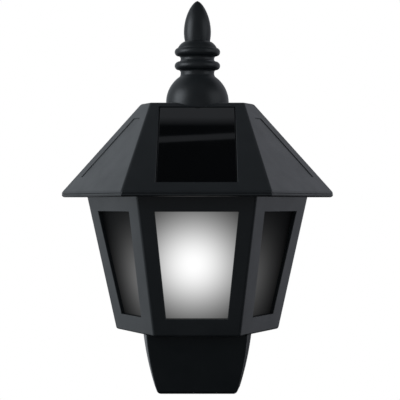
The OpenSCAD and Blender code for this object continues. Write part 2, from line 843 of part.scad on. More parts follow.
// Radius about an axis behind the wall that gives this half width at the wall
function around(half, back) = sqrt(half * half + back * back);
function collar_at(t) = collar_foot + (collar_half - collar_foot) * pow(1 - pow(t, 1.4), 1 / 1.4);
function bud_at(t) = bud_half * pow(1 - pow(t, 1.9), 0.68);
function waist_at(t) = bud_half - (bud_half - waist_half) * t * t;

module finial_form(inset) {
    steps = 14;
    ring_axis_r = around(ring_half, neck_back) - ring_edge_r;
    neck_foot = dome_z + dome_r * 0.5;
    translate([0, dome_back, dome_z]) sphere(r = dome_r - inset);
    translate([0, neck_back, neck_foot]) cylinder(h = collar_z - neck_foot, r = neck_r - inset);
    if (inset == 0) translate([0, neck_back, 0]) for (z = [lower_ring_z, upper_ring_z])
        translate([0, 0, z]) {
            rotate_extrude() translate([ring_axis_r, 0]) circle(r = ring_edge_r, $fn = 24);
            translate([0, 0, -ring_edge_r * 0.6]) cylinder(h = ring_edge_r * 1.2, r = ring_axis_r);
        }
    translate([0, neck_back, 0]) rotate_extrude() polygon(concat(
        [[0, collar_z - 1]], [[around(collar_half, neck_back) - inset, collar_z - 1]],
        [for (i = [0:6]) [around(collar_at(i / 6), neck_back) - inset, collar_z + collar_h * i / 6]],
        [[0, collar_z + collar_h]]
    ));
    translate([0, bud_back, 0]) rotate_extrude() polygon(concat(
        [[0, waist_z - 1], [around(waist_half, bud_back) - inset, waist_z - 1]],
        [for (i = [0:3]) [around(waist_at(1 - i / 4), bud_back) - inset, waist_z + bud_belly * i / 4]],
        [for (i = [0:steps - 1]) [around(bud_at(i / steps), bud_back) - inset,
            belly_z + (tip_z - belly_z) * i / steps]],
        [[bud_back - inset, tip_z], [0, tip_z]]
    ));
}

finial_floor_z = roof_top_z + wall_t;

module finial() {
    color("#1d2123") difference() {
        union() {
            difference() {
                intersection() {
                    finial_form(0);
                    slab(0, span / 2);
                    above(roof_top_z - roof_front_reach);
                }
                intersection() {
                    finial_form(wall_t);
                    above(finial_floor_z);
                }
            }
            at_finial_screw(roof_top_z + nick) cylinder(h = shank_l + 1, r = boss_r);
        }
        half_hex(roof_form, fascia_z, roof_top_z, 0, span / 4);
        at_finial_screw(roof_top_z - nick) cylinder(h = shank_l + nick, r = pilot_r);
    }
}

module finial_plate() {
    color("#202426") intersection() {
        finial_form(wall_t + fit_gap);
        above(finial_floor_z + fit_gap);
        slab(0, wall_t);
        slab(-1, finial_screw_depth - boss_r - fit_gap);
    }
}

module finial_screw() {
    color("silver") at_finial_screw(roof_top_z - wall_t) rotate([180, 0, 0]) screw(shank_l);
}

// Solar panel

module solar_tape() {
    color("#2c2c2c") difference() {
        panel_slice(recess_depth - tape_t, recess_depth, 1);
        panel_hole(panel_hole_r);
    }
}

module solar_board() {
    color("#10281c") panel_slice(panel_sunk + laminate_t, panel_sunk + laminate_t + board_t);
}

module cell_strips(grow) {
    inner_w = panel_w - 2 * cell_margin;
    strip_w = (inner_w - (cell_count - 1) * cell_gap) / cell_count;
    on_front_slope() for (i = [0:cell_count - 1])
        translate([-inner_w / 2 + i * (strip_w + cell_gap), panel_foot + cell_margin,
            -panel_sunk - laminate_t - grow])
            cube([strip_w, panel_l - 2 * cell_margin, cell_t + grow]);
}

module solar_cells() {
    color("#07090c") cell_strips(0);
}

module solar_laminate() {
    color("#0b0d10") difference() {
        panel_slice(panel_sunk, panel_sunk + laminate_t);
        cell_strips(nick);
    }
}

// Lantern body and its panes

window_lo = body_z + window_foot;
window_hi = window_lo + window_h;

module front_window(grow = 0) {
    polygon(trapezoid(front_window_foot + 2 * grow, front_window_top + 2 * grow,
        window_lo - grow, window_hi + grow));
}

module side_window(grow = 0) {
    polygon(trapezoid(side_window_foot + 2 * grow, side_window_top + 2 * grow,
        window_lo - grow, window_hi + grow, side_window_shift));
}

module pane_slab(face, angle) {
    lo = window_lo - pane_lap;
    hi = window_hi + pane_lap;
    difference() {
        slope_block(body_form, face, angle, lo, hi, wall_t, 0);
        slope_block(body_form, face, angle, lo - 1, hi + 1, wall_t + pane_t, 1);
    }
}

module lantern_body() {
    color("#191d20") difference() {
        union() {
            difference() {
                half_hex(body_form, body_z, eave_z);
                half_hex(body_form, body_z + wall_t, eave_z + nick, wall_t, nick);
            }
            intersection() {
                half_hex(body_form, body_z + wall_t / 2, eave_z - rim_h - fit_gap, wall_t / 2);
                union() {
                    difference() {
                        slab(seat_depth, seat_depth + ledge_t);
                        half_hex(body_form, body_z + wall_t + ledge_w, eave_z, wall_t + ledge_w, 1);
                    }
                    both_sides() screw_boss(body_screw_x, body_screw_z, 0, -web_reach);
                }
            }
        }
        forward(body_foot_reach - wall_t * 2, span / 2) front_window();
        both_sides() rotate([0, 0, 60]) forward(body_foot_reach - wall_t * 2, span / 2) side_window();
        both_sides() boss_hole(body_screw_x, body_screw_z);
        // Room for the rear cover and the wires
        intersection() {
            tail_form(body_z - 2, body_z + wall_t + 2, wall_t, nick);
            slab(-1, seat_depth);
        }
        wire_hole(light_hole_x, switch_hole_depth, body_z - nick, body_z + wall_t + nick);
    }
}

module front_pane() {
    color("#f2f2ee") intersection() {
        pane_slab(FRONT, 0);
        forward(0, span / 2) front_window(pane_lap);
    }
}

module right_pane() {
    color("#8a8a86") intersection() {
        pane_slab(SIDE, 60);
        rotate([0, 0, 60]) forward(0, span / 2) side_window(pane_lap);
    }
}

module left_pane() {
    mirror([1, 0, 0]) right_pane();
}

// Reflector and light

module reflector_tray() {
    color("#e9e9e6") difference() {
        union() {
            difference() {
                half_hex(body_form, tray_foot_z, tray_top_z, tray_inset);
                half_hex(body_form, tray_foot_z + tray_t, tray_top_z - tray_t, tray_inset + tray_t);
                slab(-1, tray_depth);
                slab(tray_depth + tray_edge, span);
            }
            intersection() {
                half_hex(body_form, tray_foot_z, tray_top_z, tray_inset);
                slab(tray_depth, tray_front);
            }
            both_sides() from_behind(light_screw_x, light_z, tray_front)
                cylinder(h = tray_t + light_stud_h, r = boss_r - 0.4);
        }
        both_sides() {
            for (p = tray_screw_points) from_front(p[0], p[1], tray_depth - nick)
                cylinder(h = tray_t + 2 * nick, r = hole_r);
            from_behind(light_screw_x, light_z, tray_front + nick)
                cylinder(h = tray_t + light_stud_h, r = pilot_r);
        }
    }
}

module tray_screws() {
    color("silver") both_sides() for (p = tray_screw_points)
        from_front(p[0], p[1], tray_front) screw(shank_l);
}

module light_board() {
    color("#f0f0ea") difference() {
        forward(tray_front, tray_front + pcb_t) translate([-light_w / 2, light_z - light_h / 2])
            square([light_w, light_h]);
        both_sides() from_front(light_screw_x, light_z, tray_front - nick)
            cylinder(h = pcb_t + 2 * nick, r = hole_r);
    }
}

module light_chips() {
    color("#f6e58a") for (x = [-1, 1], z = [-1, 1])
        forward(tray_front + pcb_t, tray_front + pcb_t + chip_h)
            translate([x * chip_w - chip_w / 2, light_z + z * chip_w - chip_w / 2]) square(chip_w);
}

module light_screws() {
    color("silver") both_sides() from_front(light_screw_x, light_z, tray_front + pcb_t)
        screw(light_shank_l);
}

// Tail and push switch

socket_half = switch_w / 2 + fit_gap + socket_wall;
button_z = tail_z + button_sunk;
chamber_top = button_z + button_h + button_travel + 0.2;
switch_z = chamber_top + 1.2;
switch_hold = 4.4;
switch_top = switch_z + switch_h;
plunger_top = switch_z + switch_h / 2;

module at_button(z) {
    translate([0, -button_depth, z]) children();
}

module tail_shell() {
    color("#161a1c") difference() {
        union() {
            difference() {
                tail_form(tail_z, body_z);
                tail_form(tail_z + wall_t, body_z + nick, wall_t, nick);
            }
            intersection() {
                tail_form(tail_z + wall_t / 2, body_z, wall_t / 2);
                union() {
                    difference() {
                        slab(seat_depth, seat_depth + ledge_t);
                        tail_form(tail_z + wall_t + ledge_w, body_z + nick, wall_t + ledge_w, 1);
                    }
                    both_sides() screw_boss(tail_screw_x, tail_screw_z, web_reach, 0);
                    at_button(tail_z) translate([-socket_half, -socket_half, 0])
                        cube([2 * socket_half, 2 * socket_half, switch_z + switch_hold - tail_z]);
                }
            }
        }
        both_sides() boss_hole(tail_screw_x, tail_screw_z);
        at_button(tail_z - nick) cylinder(h = chamber_top - tail_z + nick, r = button_r + button_gap);
        at_button(chamber_top - nick)
            cylinder(h = switch_z - chamber_top + 2 * nick, r = plunger_r + 4 * plunger_gap);
        at_button(switch_z) translate([-switch_w / 2 - fit_gap, -switch_w / 2 - fit_gap, 0])
            cube([switch_w + 2 * fit_gap, switch_w + 2 * fit_gap, span]);
    }
}

module switch_body() {
    color("#303a44") difference() {
        at_button(switch_z) translate([-switch_w / 2, -switch_w / 2, 0])
            cube([switch_w, switch_w, switch_h]);
        at_button(switch_z - nick)
            cylinder(h = plunger_top + button_travel + 0.4 - switch_z + nick, r = plunger_r + plunger_gap);
    }
}

module switch_plunger() {
    color("#e6e6e6") at_button(button_z + button_h)
        cylinder(h = plunger_top - button_z - button_h, r = plunger_r);
}

module button_cap() {
    color("#101214") at_button(button_z) rotate_extrude() polygon(concat(
        [[0, 0]], corner_arc([0, 0], [button_r, 0], [button_r, button_h], 0.8),
        [[button_r, button_h], [0, button_h]]
    ));
}

// Battery

module battery_holder() {
    color("#26292b") difference() {
        forward(holder_back, holder_front) translate([-holder_l / 2 - holder_wall, holder_z])
            square([holder_l + 2 * holder_wall, holder_in_h + 2 * holder_wall]);
        forward(holder_back - nick, holder_back + holder_in_d)
            translate([-holder_l / 2, holder_z + holder_wall]) square([holder_l, holder_in_h]);
        // Slots that let the contact tags out to the front
        for (side = [-1, 1]) translate([side * (holder_l / 2 - tag_w / 2), -holder_front - nick, battery_z])
            translate([-tag_w / 2 - 0.2, 0, -tag_h / 2 - 0.2])
                cube([tag_w + 0.4, holder_wall + 2 * nick, tag_h + 0.4]);
    }
}

module battery_cell() {
    nub_l = 1.2;
    color("#3d7a4a") translate([battery_x, -battery_depth, battery_z]) rotate([0, 90, 0]) rotate_extrude()
        polygon(concat(
            [[0, 0], [cell_r * 0.35, 0], [cell_r * 0.35, nub_l]],
            corner_arc([0, nub_l], [cell_r, nub_l], [cell_r, cell_l], 0.6),
            corner_arc([cell_r, 0], [cell_r, cell_l], [0, cell_l], 0.6),
            [[0, cell_l]]
        ));
}

tag_w = 3;
tag_h = 4;
tag_out = 3;

// Contact plate with a soldering tag that reaches out of the holder's front
module contact(side) {
    plate = cell_r;
    wall_x = side * holder_l / 2;
    translate([side > 0 ? wall_x - contact_t : wall_x, 0, battery_z]) {
        translate([0, -battery_depth - plate, -plate * 0.8]) cube([contact_t, 2 * plate, 1.6 * plate]);
        translate([0, -holder_front - tag_out, -tag_h / 2])
            cube([contact_t, holder_front + tag_out - battery_depth, tag_h]);
    }
}

module battery_contact() {
    color("#c9c9c4") contact(-1);
}

spring_turns = 4;
spring_rings = 14;
spring_sides = 6;
spring_foot_r = 4.6;
spring_tip_r = 2.6;

module battery_spring() {
    start_x = battery_x + cell_l + spring_wire_r;
    rise = spring_l - 2 * spring_wire_r;
    count = spring_turns * spring_rings;
    path = [for (i = [0:count])
        let (t = i / count, r = spring_tip_r + (spring_foot_r - spring_tip_r) * t,
            a = 360 * spring_turns * t)
        [start_x + rise * t, r * cos(a) - battery_depth, r * sin(a) + battery_z]];
    color("#d4d4d0") {
        tube(path, spring_wire_r, spring_sides, [1, 0, 0]);
        contact(1);
    }
}

// Circuit board, wires and what rides on the board

module control_board() {
    color("#1d5a38") difference() {
        translate([-control_w / 2, -control_back - control_d, control_z])
            cube([control_w, control_d, pcb_t]);
        for (p = control_screw_points) translate([p[0], p[1], control_z - nick])
            cylinder(h = pcb_t + 2 * nick, r = hole_r);
    }
}

board_top = control_z + pcb_t;

// Place on the board, as shares of its width from the middle and of its depth from the back
module on_board(across, forward_by) {
    translate([across * control_w, -control_back - forward_by * control_d, board_top]) children();
}

module block(length, width, height) {
    translate([-length / 2, -width / 2, 0]) cube([length, width, height]);
}

module control_parts() {
    color("#202020") {
        on_board(-0.08, 0.62) block(driver_l, driver_w, driver_h);
        on_board(0.14, 0.79) cylinder(h = choke_h, r = choke_r);
        on_board(-0.24, 0.57) cylinder(h = capacitor_h, r = capacitor_r);
        on_board(0.24, 0.48) block(resistor_l, resistor_w, resistor_h);
        on_board(-0.15, 0.86) block(resistor_l, resistor_w, resistor_h);
    }
}

module control_screws() {
    color("silver") for (p = control_screw_points) translate([p[0], p[1], board_top]) screw(stud_h);
}

// Round hole that lets wires through a floor
wire_end = 0.35;
light_hole_depth = control_back - control_gap / 2;
light_hole_x = 5.5;
switch_hole_depth = 10;

module wire_hole(x, depth, z_lo, z_hi) {
    translate([x, -depth, z_lo]) cylinder(h = z_hi - z_lo, r = wire_hole_r);
}

function bezier(p, t) = p[0] * pow(1 - t, 3) + p[1] * 3 * t * pow(1 - t, 2)
    + p[2] * 3 * t * t * (1 - t) + p[3] * pow(t, 3);
// Smooth path through a list of [point, direction] pairs
function smooth_path(stops, steps = 5) = concat(
    [for (k = [0:len(stops) - 2], i = [0:steps - 1])
        let (a = stops[k], b = stops[k + 1]) bezier([a[0], a[0] + a[1], b[0] - b[1], b[0]], i / steps)],
    [stops[len(stops) - 1][0]]
);

// Round tube along a path, with rings square to it
module tube(path, r, sides, across) {
    last = len(path) - 1;
    function along(i) = unit(path[min(i + 1, last)] - path[max(i - 1, 0)]);
    function ring(i) =
        let (t = along(i), u = unit(cross(t, across)), v = cross(t, u))
        [for (s = [0:sides - 1]) path[i] + r * (u * cos(360 * s / sides) + v * sin(360 * s / sides))];
    points = [for (i = [0:last], p = ring(i)) p];
    walls = [for (i = [0:last - 1], s = [0:sides - 1])
        let (a = i * sides + s, b = i * sides + (s + 1) % sides)
        each [[a, a + sides, b], [b, a + sides, b + sides]]];
    caps = [for (s = [1:sides - 2]) each [
        [0, s, s + 1], [last * sides, last * sides + s + 1, last * sides + s]]];
    polyhedron(points, concat(walls, caps));
}

// Point under the panel's board, by distance along its wire hole
function under_panel(x, deep) =
    let (up = panel_foot + panel_hole_foot)
    [x, -eave_reach + up * cos(slope_deg) + deep * sin(slope_deg),
        fascia_z + up * sin(slope_deg) - deep * cos(slope_deg)];

module panel_wires() {
    deep = panel_sunk + laminate_t + board_t;
    into = [0, sin(slope_deg), -cos(slope_deg)];
    for (side = [-1, 1]) color(side > 0 ? "firebrick" : "#151515")
        tube(smooth_path([
            [under_panel(side * 1.2, deep), into * 3],
            [under_panel(side * 1.2, deep + 7), into * 2],
            [[side * 1.2, -control_back - control_d + 4, board_top + wire_end], [0, 0, -4]]
        ]), wire_r, 8, [1, 0, 0]);
}

// Distances of the battery's leads on the board from its middle and from its back
lead_x = 15;
lead_depth = 8;

module battery_wires() {
    for (side = [-1, 1]) color(side > 0 ? "#151515" : "firebrick") {
        tag_x = side * (holder_l / 2 - contact_t / 2);
        tube(smooth_path([
            [[tag_x, -holder_front - tag_out - wire_end, battery_z], [0, -3, 0]],
            [[side * lead_x, -control_back - lead_depth, board_top + wire_end], [0, 0, -6]]
        ], 8), wire_r, 8, [1, 0, 0]);
    }
}

module light_wires() {
    for (side = [-1, 1]) color(side > 0 ? "firebrick" : "#f0f0f0") {
        x = -light_hole_x + side * wire_pair;
        face = -tray_front - pcb_t;
        top = light_z + light_h / 2;
        tube(smooth_path([
            [[x, -control_back - 3, board_top + wire_end], [0, 0, 3]],
            [[x, -light_hole_depth, parting_z], [0, 0, -5]],
            [[x, face - 3, top + 6], [0, 0, -6]],
            [[x, face - wire_end, top - 2], [0, 4, 0]]
        ]), wire_r, 8, [1, 0, 0]);
    }
}

module switch_wires() {
    over_z = (tray_top_z + eave_z) / 2;
    for (side = [-1, 1]) color(side > 0 ? "#151515" : "#f0f0f0") {
        x = light_hole_x + side * wire_pair;
        tube(smooth_path([
            [[x, -control_back - 3, board_top + wire_end], [0, 0, 3]],
            [[x, -light_hole_depth, parting_z], [0, 0, -4]],
            [[x, -light_hole_depth + 8, over_z], [0, 5, 0]],
            [[x, -switch_hole_depth, over_z - 12], [0, 0, -8]],
            [[x, -switch_hole_depth, body_z + wall_t], [0, 0, -6]],
            [[side * 2, -button_depth, switch_top + wire_end], [0, 0, -4]]
        ]), wire_r, 8, [1, 0, 0]);
    }
}

roof_shell();
eave_plate();
eave_screws();
finial();
finial_plate();
finial_screw();
solar_tape();
solar_board();
solar_cells();
solar_laminate();
lantern_body();
front_pane();
left_pane();
right_pane();
reflector_tray();
tray_screws();
light_board();
light_chips();
light_screws();
tail_shell();
switch_body();
switch_plunger();
button_cap();
rear_cover();
rear_gasket();
cover_screws();
battery_door();
door_seal();
door_screws();
battery_holder();
battery_cell();
battery_spring();
battery_contact();
control_board();
control_parts();
control_screws();
panel_wires();
battery_wires();
light_wires();
switch_wires();
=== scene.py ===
"""Solar wall light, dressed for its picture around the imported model.

The light is half of a six-sided garden lantern that hangs flat against a wall. +Z is up, -Y points
away from the wall and the wall is the plane Y = 0. Sizes in the classes are in millimetres. They are
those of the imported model, apart from a few edges that lie up to half a millimetre off to look as they
do in the photograph. Blender's own unit here is the metre.
"""

import logging
import math
from collections.abc import Callable, Iterator
from contextlib import contextmanager
from dataclasses import dataclass
from enum import Enum

import bmesh
import bpy
from bpy.types import Material, Node, NodeSocket, NodeTree, Object
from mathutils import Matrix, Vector


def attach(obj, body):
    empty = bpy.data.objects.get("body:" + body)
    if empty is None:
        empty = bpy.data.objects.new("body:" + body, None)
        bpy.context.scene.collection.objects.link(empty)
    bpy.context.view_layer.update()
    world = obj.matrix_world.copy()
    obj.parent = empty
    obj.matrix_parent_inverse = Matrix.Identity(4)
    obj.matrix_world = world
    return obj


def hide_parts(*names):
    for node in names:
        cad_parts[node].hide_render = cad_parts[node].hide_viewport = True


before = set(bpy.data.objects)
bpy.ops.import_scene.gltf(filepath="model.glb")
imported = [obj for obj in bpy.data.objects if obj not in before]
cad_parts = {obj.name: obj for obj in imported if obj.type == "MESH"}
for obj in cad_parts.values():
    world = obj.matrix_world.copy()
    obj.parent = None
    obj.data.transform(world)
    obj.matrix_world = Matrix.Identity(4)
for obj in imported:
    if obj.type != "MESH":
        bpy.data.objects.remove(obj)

log = logging.getLogger("wall_light")

MM = 0.001
SIN60 = math.sin(math.radians(60))
COS60 = 0.5
# Millimetres within which two places are the same, on flat faces and on the tail's curved sides
CLOSE = 0.02
FAIRLY_CLOSE = 0.05
# Millimetres within which doubles are joined
WELD = 0.002
# Metres within which a cut takes the edges that are there
CUT_SLACK = 1e-6
# How strongly the large faces set the shading, out of 100
FLATNESS = 60
# How far every shell runs on behind the wall before it is cut there
BEHIND = 6.0
# Width of the inset whose corners are then moved to their places
FIRST_INSET = 5.0
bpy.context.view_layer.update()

Point = tuple[float, float, float]
Outline = list[tuple[float, float]]
Test = Callable[[Vector, Vector], bool]


class Part(Enum):
    """What a pick in edit mode is made of."""

    POINT = "VERT"
    EDGE = "EDGE"
    FACE = "FACE"


class Body(Enum):
    """CAD body that a piece rides on."""

    LAMP = "lamp"
    BUTTON = "button"


# Modelling by hand


def mm(*values: float) -> Vector:
    """Turns a place or size in millimetres into metres."""
    return Vector(values) * MM


def begin(name: str, add: Callable[..., set], **settings: object) -> Object:
    """Adds a primitive by itself and puts its place in its mesh.

    Args:
        name: Name of the new piece.
        add: Operator that adds the primitive.
        **settings: Size and place for that operator, in metres.

    Returns:
        The new piece, selected and active.
    """
    bpy.ops.object.select_all(action="DESELECT")
    add(**settings)
    piece = bpy.context.object
    piece.name = piece.data.name = name
    bpy.ops.object.transform_apply(location=True, rotation=True, scale=True)
    return piece


def take(piece: Object) -> None:
    """Makes a piece the only selected one."""
    bpy.ops.object.select_all(action="DESELECT")
    piece.select_set(True)
    bpy.context.view_layer.objects.active = piece


@contextmanager
def editing(piece: Object) -> Iterator[None]:
    """Holds a piece in edit mode."""
    take(piece)
    bpy.ops.object.mode_set(mode="EDIT")
    yield
    bpy.ops.object.mode_set(mode="OBJECT")


def pick(part: Part, test: Callable[..., bool]) -> None:
    """Selects what passes a test, in the piece that is being edited.

    Args:
        part: Points, edges or faces.
        test: For a point, it gets its place. For an edge, it gets both ends. For a face, it gets
            its middle and its normal. Places are in millimetres.
    """
    bpy.ops.mesh.select_mode(type=part.value)
    bpy.ops.mesh.select_all(action="DESELECT")
    mesh = bpy.context.object.data
    shape = bmesh.from_edit_mesh(mesh)
    if part is Part.POINT:
        found = [point for point in shape.verts if test(point.co / MM)]
    elif part is Part.EDGE:
        found = [edge for edge in shape.edges if test(*(end.co / MM for end in edge.verts))]
    else:
        found = [face for face in shape.faces if test(face.calc_center_median() / MM, face.normal)]
    for element in found:
        element.select_set(True)
    shape.select_flush_mode()
    bmesh.update_edit_mesh(mesh, loop_triangles=False, destructive=False)


def near(a: Vector, b: Vector, slack: float = CLOSE) -> bool:
    """Tells whether two places are the same."""
    return (a - b).length < slack


def move_point(start: Vector, end: Vector) -> None:
    """Moves the point at one place to another, in millimetres."""
    pick(Part.POINT, lambda place: near(place, start))
    bpy.ops.transform.translate(value=(end - start) * MM)


def by_rows(corners: list[Vector]) -> list[Vector]:
    """Puts four corners in order: the lower two from left to right, then the upper two."""
    by_height = sorted(corners, key=lambda corner: corner.z)
    return [corner for row in (by_height[:2], by_height[2:]) for corner in sorted(row, key=lambda c: c.x)]


def draw_on_face(where: Test, targets: list[Vector]) -> None:
    """Draws four corners on the face that passes a test and picks the face between them."""
    pick(Part.FACE, where)
    bpy.ops.mesh.inset(thickness=FIRST_INSET * MM)
    shape = bmesh.from_edit_mesh(bpy.context.object.data)
    corners = [point.co / MM for point in shape.verts if point.select]
    for corner, target in zip(by_rows(corners), by_rows(targets)):
        move_point(corner, target)
    pick(Part.POINT, lambda place: any(near(place, target) for target in targets))
    bpy.ops.mesh.select_mode(type="FACE")


def extrude(move: Vector) -> None:
    """Extrudes the picked faces or edges by a move in millimetres."""
    bpy.ops.mesh.extrude_region_move(TRANSFORM_OT_translate={"value": move * MM})


def bisect(place: Vector, normal: Vector, **settings: bool) -> None:
    """Adds edges where a plane crosses the edited piece, and cuts there if the settings say so."""
    bpy.ops.mesh.select_all(action="SELECT")
    bpy.ops.mesh.bisect(plane_co=place * MM, plane_no=normal, threshold=CUT_SLACK, **settings)


def clean() -> None:
    """Joins doubles of the edited piece and turns its faces outwards."""
    bpy.ops.mesh.select_all(action="SELECT")
    bpy.ops.mesh.remove_doubles(threshold=WELD * MM)
    bpy.ops.mesh.normals_make_consistent(inside=False)


def trim(piece: Object, *levels: tuple[float, int]) -> None:
    """Cuts a piece off flat at the wall, and then at given heights.

    Args:
        piece: Piece that runs on behind the wall.
        *levels: Height in millimetres, and 1 to drop what is above it or -1 for what is below.
    """
    with editing(piece):
        bisect(Vector((0, 0, 0)), Vector((0, 1, 0)), use_fill=True, clear_outer=True)
        for z, side in levels:
            bisect(Vector((0, 0, z)), Vector((0, 0, side)), use_fill=True, clear_outer=True)
        clean()


def add_modifier(piece: Object, kind: str, **settings: object) -> None:
    """Adds a modifier to a piece and applies it.

    Args:
        piece: Piece that gets the modifier.
        kind: Blender's name of the modifier's type.
        **settings: Values of the modifier's fields.
    """
    take(piece)
    modifier = piece.modifiers.new(kind.title(), kind)
    for name, value in settings.items():
        setattr(modifier, name, value)
    bpy.ops.object.modifier_apply(modifier=modifier.name)


def give_wall(piece: Object, thickness: float) -> None:
    """Gives an open shell its wall, inwards, in millimetres."""
    with editing(piece):
        clean()
    add_modifier(
        piece, "SOLIDIFY", thickness=thickness * MM, offset=-1.0, use_even_offset=True, use_rim=True
    )


def soften(piece: Object, rounds: list[tuple[float, Test]], segments: int = 3) -> None:
    """Rounds chosen edges, each kind by its own width, in one go.

    Args:
        piece: Piece whose edges are rounded.
        rounds: Width in millimetres and the test that picks the edges that get it.
        segments: Number of steps across each rounding.
    """
    widest = max(width for width, _ in rounds)
    with editing(piece):
        for width, test in rounds:
            pick(Part.EDGE, test)
            bpy.ops.transform.edge_bevelweight(value=width / widest)
    add_modifier(
        piece,
        "BEVEL",
        limit_method="WEIGHT",
        width=widest * MM,
        segments=segments,
        use_clamp_overlap=False,
        miter_outer="MITER_ARC",
    )


def smooth(piece: Object, angle: float = 35.0) -> None:
    """Shades a piece smooth up to an angle in degrees, with its large faces kept flat."""
    take(piece)
    bpy.ops.object.shade_smooth_by_angle(angle=math.radians(angle))
    add_modifier(piece, "WEIGHTED_NORMAL", keep_sharp=True, weight=FLATNESS)


def subtract(piece: Object, tool: Object) -> None:
    """Cuts one piece out of another and throws the first away."""
    add_modifier(piece, "BOOLEAN", operation="DIFFERENCE", solver="EXACT", object=tool)
    bpy.data.objects.remove(tool, do_unlink=True)


# Shapes that pieces share


@dataclass(frozen=True)
class SixSided:
    """Half of a tapered six-sided form that stands against the wall, in millimetres."""

    foot_z: float
    foot_side: float
    foot_front: float
    top_z: float
    top_side: float
    top_front: float

    def shrunk(self, step: float) -> "SixSided":
        """The same form with every reach and its top less by one step."""
        return SixSided(self.foot_z, self.foot_side - step, self.foot_front - step,
                        self.top_z - step, self.top_side - step, self.top_front - step)

    def _reach(self, foot: float, top: float, z: float) -> float:
        """Distance from the middle of the wall side to a face, at one height."""
        return foot + (top - foot) * (z - self.foot_z) / (self.top_z - self.foot_z)

    def side(self, z: float) -> float:
        """Distance to the side faces at one height."""
        return self._reach(self.foot_side, self.top_side, z)

    def front(self, z: float) -> float:
        """Distance to the front face at one height."""
        return self._reach(self.foot_front, self.top_front, z)

    def corner(self, sign: int, z: float, depth: float) -> Vector:
        """Point on a side face at one height and depth, left with sign -1 and right with 1."""
        return Vector((sign * (self.side(z) - depth * COS60) / SIN60, -depth, z))

    def on_front(self, place: Vector) -> bool:
        """Tells whether a point lies on the front face."""
        return abs(-place.y - self.front(place.z)) < CLOSE

    def on_side(self, place: Vector) -> bool:
        """Tells whether a point lies on a side face."""
        return abs(abs(place.x) * SIN60 - place.y * COS60 - self.side(place.z)) < CLOSE

    def on_ridge(self, a: Vector, b: Vector) -> bool:
        """Tells whether an edge lies on a front ridge."""
        return all(self.on_front(place) and self.on_side(place) for place in (a, b))

    def level(self, z: float) -> Test:
        """Makes the test for the outer edges at one height."""

        def test(a: Vector, b: Vector) -> bool:
            """Tells whether an edge is an outer one at that height."""
            both = (a, b)
            flat = all(abs(place.z - z) < CLOSE for place in both)
            return flat and (all(map(self.on_front, both)) or all(map(self.on_side, both)))

        return test

    def on_side_face(self, sign: int, along: float, z: float) -> Vector:
        """Point on a side face, by its distance along the face from its middle line."""
        reach = self.side(z)
        return Vector((sign * (along * COS60 + reach * SIN60), along * SIN60 - reach * COS60, z))

    def shell(self, name: str) -> Object:
        """Models the front and both side faces as an open shell that runs on behind the wall."""
        piece = begin(
            name,
            bpy.ops.mesh.primitive_cylinder_add,
            vertices=6,
            radius=self.foot_front / SIN60 * MM,
            depth=(self.top_z - self.foot_z) * MM,
            end_fill_type="NOTHING",
            location=mm(0, 0, (self.foot_z + self.top_z) / 2),
            rotation=(0, 0, math.radians(30)),
        )
        with editing(piece):
            pick(Part.FACE, lambda middle, normal: middle.y > 1)
            bpy.ops.mesh.delete(type="FACE")
            ridge = Vector((self.foot_front / SIN60 * COS60, -self.foot_front, 0))
            wall = Vector((self.foot_front / SIN60, 0, 0))
            for sign in (-1, 1):
                for z in (self.foot_z, self.top_z):
                    for start, depth in ((ridge, self.front(z)), (wall, -BEHIND)):
                        move_point(Vector((sign * start.x, start.y, z)), self.corner(sign, z, depth))
        return piece

    def close(self, z: float) -> None:
        """Closes the edited shell with a flat face at one height."""
        pick(Part.POINT, lambda place: abs(place.z - z) < CLOSE)
        bpy.ops.mesh.edge_face_add()

    def block(self, name: str) -> Object:
        """Models the form as a closed block, for cutting."""
        piece = self.shell(name)
        with editing(piece):
            self.close(self.top_z)
            self.close(self.foot_z)
            pick(Part.POINT, lambda place: place.y > BEHIND - CLOSE)
            bpy.ops.mesh.edge_face_add()
            clean()
        return piece


def joins(corners: list[Vector]) -> Test:
    """Makes the test for the edges that run between given corners."""

    def test(a: Vector, b: Vector) -> bool:
        """Tells whether both ends are among the corners."""
        return all(any(near(end, corner) for corner in corners) for end in (a, b))

    return test


def shares(count: int) -> Iterator[float]:
    """Equal steps from 0 up to, but not with, 1."""
    return (i / count for i in range(count))


# Materials


def linear(colour: str) -> tuple[float, float, float, float]:
    """Turns an sRGB hex colour into Blender's linear one."""
    parts = [int(colour[i : i + 2], 16) / 255 for i in (1, 3, 5)]
    red, green, blue = (c / 12.92 if c <= 0.04045 else ((c + 0.055) / 1.055) ** 2.4 for c in parts)
    return red, green, blue, 1.0


def add_node(
    tree: NodeTree,
    kind: str,
    links: dict[str | int, NodeSocket] | None = None,
    values: dict[str | int, object] | None = None,
    **settings: object,
) -> Node:
    """Adds a node with its settings, values and links.

    Args:
        tree: Node tree that the node goes into.
        kind: Blender's name of the node's type.
        links: Output socket for each linked input.
        values: Value for each unlinked input.
        **settings: The node's own fields.

    Returns:
        The new node.
    """
    node = tree.nodes.new(kind)
    for name, value in settings.items():
        setattr(node, name, value)
    for name, value in (values or {}).items():
        node.inputs[name].default_value = value
    for name, output in (links or {}).items():
        tree.links.new(output, node.inputs[name])
    return node


def give_off(tree: NodeTree, shader: Node, strength: NodeSocket) -> None:
    """Lets a surface give off white light of the strength that a socket carries."""
    tree.links.new(strength, shader.inputs["Emission Strength"])
    shader.inputs["Emission Color"].default_value = linear("#ffffff")


